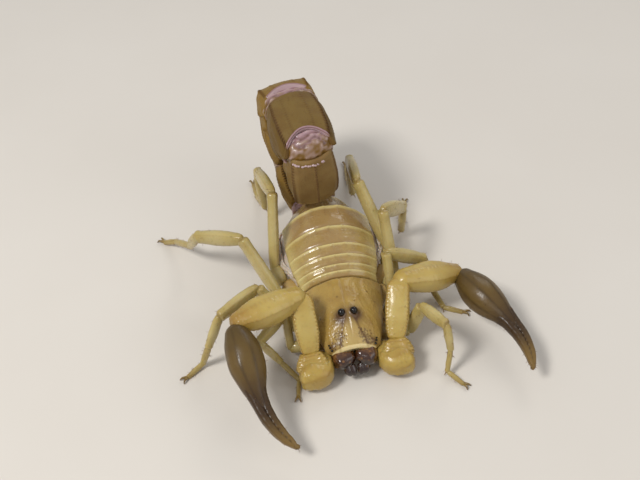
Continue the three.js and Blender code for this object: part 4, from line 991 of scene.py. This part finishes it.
FINGER_DEPTH = 1.35
LOBE_EDGES, ARM_EDGES = (0.7, 2.4, 3.9, 5.5), (0.72, 2.42, 3.86, 5.56)
FOREARM_EDGES, HAND_EDGES = (0.5, 1.57, 2.64, 3.7, 4.71, 5.7), (0.3, 1.2, 1.95, 2.84, 4.1, 5.3)
arm_paint = cuticle("yellow_arm", (180, 152, 76), (146, 104, 38), (206, 186, 116), 0.3,
                    gloss=0.28, coat=0.28, glow=0.16, grain=0.016)
pincer_paint = cuticle("olive_pincer", (84, 66, 33), (50, 31, 24), (142, 112, 60), 0.3,
                       gloss=0.3, coat=0.12, grain=0.012, shine=0.25)


def edged(strength, pitch, angles, width):
    """Ridges of beads along a limb at the given angles round it."""
    def shape(far, turn, length):
        edges = bell(nearest(turn, angles), width) * beads(far * length, pitch, 0.4)
        return strength * edges * within(far, 0.04, 0.14, 0.92, 0.99)
    return shape


def ridged_limb(path, widths, heights, counts, power, ends, edges, length, seeds, texture, shares=None):
    """Rings of a part of an arm, the way along it, its beaded ridges and its grains. Edges: strength,
    pitch, angles and width of the ridges. Texture: count and height of the grains, wave of the soft
    unevenness and its height."""
    shape = edged(*edges)
    rings, far, turn = limb(path, widths, heights, *counts, power, ends, shares=shares, add=shape)
    ridge = np.clip(shape(far, turn, length) / edges[0], 0, 1)
    count, grain_height, wave, wave_height = texture
    dots = grains(rings, seeds[0], count, 0.12)
    return raised(rings, grain_height * dots + wave_height * ripple(rings, wave, seeds[1])), far, ridge, dots


for side, m in SIDES[::-1]:
    mirror = [m, 1, 1]
    reaches = [length * aim(*angles) for length, angles in zip(PALP_LENGTHS, PALP_STANCE[side])]
    _, upper_run, fore_run, chela_run = unit(np.array(reaches))
    shoulder, elbow, wrist = (np.array(PALP_BASE) * mirror + sum(reaches[:n]) for n in (1, 2, 3))

    rings, far, turn = limb(PALP_ROOT[:, :3] * mirror, *PALP_ROOT[:, 3:].T, 80, 64, 2.9, (0.4, 0.7))
    frill = grains(rings, 400 + m, 240, 0.17)
    lobes = bell(np.sin(turn * 2.5 + 3 * far), 0.35)
    root = skin(raised(rings, 0.1 * frill + 0.05 * lobes), dark=0.15 * frill + 0.1 * lobes, tone=0.4 * lobes)
    strew_hairs(rings, 408 + m, 12, 0.4)
    rings, far, turn = limb([np.array(PALP_LOBE_START) * mirror, shoulder + 1.25 * upper_run],
                            PALP_LOBE_WIDTHS, PALP_LOBE_HEIGHTS, 90, 72, 4.0, (0.55, 0.5))
    frill = grains(rings, 404 + m, 260, 0.16)
    edges = nearest(turn, LOBE_EDGES)
    frills = bell(edges, 0.25) * beads(far * 5.0, 0.95) * within(far, 0.1, 0.25, 0.9, 1.0)
    furrow = bell(far - 0.8, 0.05)
    rings = raised(rings, 0.08 * frill + 0.07 * frills - 0.07 * furrow + 0.1 * ripple(rings, 1.6, 406))
    lobe = skin(rings, dark=0.14 * frill + 0.12 * bell(edges, 0.12) * beads(far * 5.0, 0.48),
                tone=0.5 * furrow + 0.25 * (1 - frills), pale=0.25 * frills)
    add_piece(f"arm_root_{side}", [root, lobe], arm_paint, [f"pedipalp_{side}_trochanter"])
    strew_hairs(rings, 410 + m, 16, 0.4)

    rings, far, ridge, dots = ridged_limb(
        [shoulder + 0.9 * upper_run, (shoulder + elbow) / 2 + 0.3 * upper_run, elbow + 0.5 * upper_run],
        [1.15, 1.5, 1.66, 1.62, 1.45], [1.05, 1.3, 1.45, 1.42, 1.3], (120, 96), 3.2, (0.5, 1.3),
        (0.17, 0.5, ARM_EDGES, 0.13), 8.0, (420 + m, 430), (160, 0.06, 1.6, 0.04))
    add_piece(f"upper_arm_{side}", [skin(
        rings, dark=0.16 * ridge + 0.06 * dots, pale=0.4 * bell(far - 0.5, 0.3) * (1 - ridge),
        tone=0.9 * ridge + 0.3 * dots + 0.3 * fade(far, 0.85, 1.0),
    )], arm_paint, [f"pedipalp_{side}_femur"])
    strew_hairs(rings, 440 + m, 14, 0.5)

    rings, far, ridge, dots = ridged_limb(
        [elbow - 0.75 * fore_run, (elbow + wrist) / 2, wrist + 0.15 * fore_run],
        [1.3, 1.6, 1.95, 2.15, 2.0, 1.5, 1.0], [1.3, 1.55, 1.8, 1.9, 1.75, 1.4, 1.0], (130, 100), 2.5,
        (1.3, 0.5), (0.09, 0.6, FOREARM_EDGES, 0.12), 9.4, (450 + m, 460), (150, 0.05, 1.9, 0.05))
    add_piece(f"forearm_{side}", [skin(
        rings, dark=0.1 * ridge + 0.06 * dots + 0.25 * fade(far, 0.9, 1.0), pale=0.3 * bell(far - 0.4, 0.25),
        tone=0.9 * fade(far, 0.55, 1.0) + 0.4 * ridge,
    )], arm_paint, [f"pedipalp_{side}_patella"])
    strew_hairs(rings, 470 + m, 16, 0.5)

    leftwards = np.cross([0, 0, 1.0], chela_run)
    inward = 1 if leftwards[0] * m < 0 else -1
    outward = -inward * unit(leftwards)

    def chela_spot(t, offset):
        """Points along the pincer, bowed outwards between wrist and tips."""
        bow = CHELA_BOW * 6.75 * t * t * (1 - t) + offset
        return wrist + np.outer(t, reaches[3]) + np.outer(bow, outward)

    shares = np.array(PALM_SHARES)
    even = np.linspace(0, 1, 12)
    palm_width, palm_depth = (HAND_SIZE * smooth_through(shares / PALM_END, values, even)
                              for values in (PALM_HALF_WIDTHS, PALM_HALF_DEPTHS))
    rings, far, ridge, dots = ridged_limb(
        chela_spot(shares, 0), palm_width, palm_depth, (150, 110), 2.15, (0.8, 0.5),
        (0.03, 6.0, HAND_EDGES, 0.1), 12.0, (480 + m, 490), (120, 0.02, 2.4, 0.05), shares / PALM_END)
    hand = [skin(rings, dark=0.2 * ridge + 0.08 * dots, tone=fade(far, 0.5, 0.85),
                 pale=0.25 * bell(far - 0.5, 0.3) - 0.2 * ridge)]
    strew_hairs(rings, 500 + m, 20, 0.55)
    along = (FINGER_SHARES - FINGER_SHARES[0]) / (1 - FINGER_SHARES[0])
    fingers = []
    for out in (-1, 1):
        hooked = -out * 0.3 * fade(FINGER_SHARES, 0.93, 1.0)
        inner_angle = 0.0 if out * inward > 0 else math.pi

        def teeth(far, turn, length):
            """A row of small teeth along the side that meets the other finger."""
            upper_angle = inner_angle + 0.9 * np.sign(1.5 - inner_angle)
            near, above = (np.abs((turn - angle + np.pi) % (2 * np.pi) - np.pi)
                           for angle in (inner_angle, upper_angle))
            row = bell(near, 0.3) + 0.9 * bell(above, 0.36)
            return 0.06 * row * beads(far * length, 0.66, 0.15) * fade(far, 0.2, 0.35)

        widths = smooth_through(along, FINGER_HALF_WIDTHS, even)
        rings, far, turn = limb(chela_spot(FINGER_SHARES, out * (FINGER_HALF_WIDTHS - 0.12) + hooked), widths,
                                FINGER_DEPTH * widths, 150, 44, 2.7, (0.9, 0.35), shares=along, add=teeth)
        row = teeth(far, turn, 12.5) / 0.06
        rings = raised(rings, 0.03 * ripple(rings, 1.2, 510))
        golden = fade(far, 0.5, 0.95)
        tone = 1.3 * fade(far, 0.05, 0.25) - 1.1 * golden
        fingers.append(skin(rings, dark=0.75 * row, tone=tone, pale=0.6 * golden))
        strew_hairs(rings, 520 + m + 3 * out, 24, 0.4)
    add_piece(f"pincer_hand_{side}", hand + fingers[:1], pincer_paint, [f"pedipalp_{side}_hand"])
    add_piece(f"pincer_finger_{side}", fingers[1:], pincer_paint, [f"pedipalp_{side}_finger"])

# ------------------------------------------------------------------ bristles
# Sparse stiff reddish bristles on legs, arms and pincers, each a thin tapering spike.
root, lean, size = (np.concatenate(values) for values in zip(*hairs))
kept = (root + lean * size[:, None])[:, 2] > 0.05
root, lean, size = root[kept], lean[kept], size[kept][:, None]
aside = unit(np.cross(lean, [0.0, 0.0, 1.0]) + 1e-4)
other = np.cross(lean, aside)
sag = np.array([0, 0, -0.08]) * size
spots = []
for share, thick in ((-0.06, 0.03), (0.5, 0.02)):
    middle = root + share * lean * size + share**2 * sag
    spots += [middle + thick * (np.cos(a) * aside + np.sin(a) * other) for a in np.radians([0, 120, 240])]
spots.append(root + lean * size + sag)
count = len(root)
pattern = np.array([[0, 1, 4], [0, 4, 3], [1, 2, 5], [1, 5, 4], [2, 0, 3], [2, 3, 5], [3, 4, 6], [4, 5, 6],
                    [5, 3, 6], [2, 1, 0]])
faces = (pattern[None] + len(spots) * np.arange(count)[:, None, None]).reshape(-1, 3)
points = np.stack(spots, axis=1).reshape(-1, 3) * MM + TRUNK_ORIGIN
mesh = bpy.data.meshes.new("bristles")
mesh.from_pydata(points.tolist(), [], faces.tolist())
mesh.shade_smooth()
# each bristle's faces share one small patch of the map for the bake
BAKE_GRID, PATCH_SIZE = 60, 0.003
corner = np.array([[0.0, 0.0], [1.0, 0.0], [0.5, 1.0]])
cell = np.stack([np.arange(count) % BAKE_GRID, np.arange(count) // BAKE_GRID], axis=-1) / BAKE_GRID
patch = np.repeat(cell, len(pattern), axis=0)[:, None] + PATCH_SIZE * corner[None]
uv = mesh.uv_layers.new(name="OFBake")
uv.data.foreach_set("uv", patch.reshape(-1).astype(np.float32))
bristle_paint = Paint("red_bristle")
bristle_paint.look({
    "Base Color": bristle_paint.mix(bristle_paint.noise(2.0), srgb(150, 104, 56), srgb(104, 66, 32)),
    "Roughness": 0.35 + 0.1 * bristle_paint.noise(1.0),
})
mesh.materials.append(bristle_paint.material)
bristles = add_object("bristles", mesh)
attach(bristles, "root")

# ------------------------------------------------------------------ studio
# A plain pale floor, a soft key light from in front on the animal's right, a weaker fill on its left,
# a light from behind for the rims, and an even pale sky.
FLOOR = 1.5
floor_mesh = bpy.data.meshes.new("floor")
floor_corners = [(-FLOOR, -FLOOR, 0), (FLOOR, -FLOOR, 0), (FLOOR, FLOOR, 0), (-FLOOR, FLOOR, 0)]
floor_mesh.from_pydata(floor_corners, [], [(0, 1, 2, 3)])
floor_paint = Paint("pale_floor")
floor_paint.look({
    "Base Color": floor_paint.mix(floor_paint.noise(30.0), srgb(214, 206, 194), srgb(220, 213, 202)),
    "Roughness": 0.8 + 0.05 * floor_paint.noise(10.0),
})
floor_mesh.materials.append(floor_paint.material)
floor = add_object("floor", floor_mesh)


def add_lamp(name, spot, power, size):
    """A square soft box at a place, turned towards the animal."""
    lamp = bpy.data.lights.new(name, "AREA")
    lamp.energy, lamp.size = power, size
    holder = add_object(name, lamp)
    holder.location = spot
    holder.rotation_euler = (Vector((0, 0, 0.01)) - Vector(spot)).to_track_quat("-Z", "Y").to_euler()


add_lamp("key", (-0.17, -0.10, 0.29), 0.7, 0.08)
add_lamp("fill", (0.22, -0.16, 0.20), 0.15, 0.2)
add_lamp("rim", (0.16, 0.24, 0.26), 0.16, 0.14)
world = bpy.data.worlds.new("sky")
world.use_nodes = True
sky = world.node_tree.nodes["Background"].inputs
sky["Color"].default_value = (0.93, 0.95, 1.0, 1.0)
sky["Strength"].default_value = 0.48
bpy.context.scene.world = world
bpy.context.scene.view_settings.view_transform = "Standard"

# The camera looks down on the animal from in front, a little from its right.
PITCH, TURN, ROLL = 45.0, -6.02, 5.07
LENS_LENGTH, SENSOR_WIDTH = 50.67, 36
LOOK_AT, DISTANCE = np.array([-1.127, 10.375, 5.0]), 135.96
facing = turned("Z", TURN) @ turned("X", 90 - PITCH) @ turned("Z", -ROLL)
lens = bpy.data.cameras.new("camera")
lens.lens, lens.sensor_width = LENS_LENGTH, SENSOR_WIDTH
lens.clip_start, lens.clip_end = 0.005, 10
camera = add_object("camera", lens)
camera_spot = Vector(TRUNK_ORIGIN + (LOOK_AT + DISTANCE * facing[:, 2]) * MM)
camera.matrix_world = Matrix.Translation(camera_spot) @ Matrix(facing).to_4x4()
bpy.context.scene.camera = camera
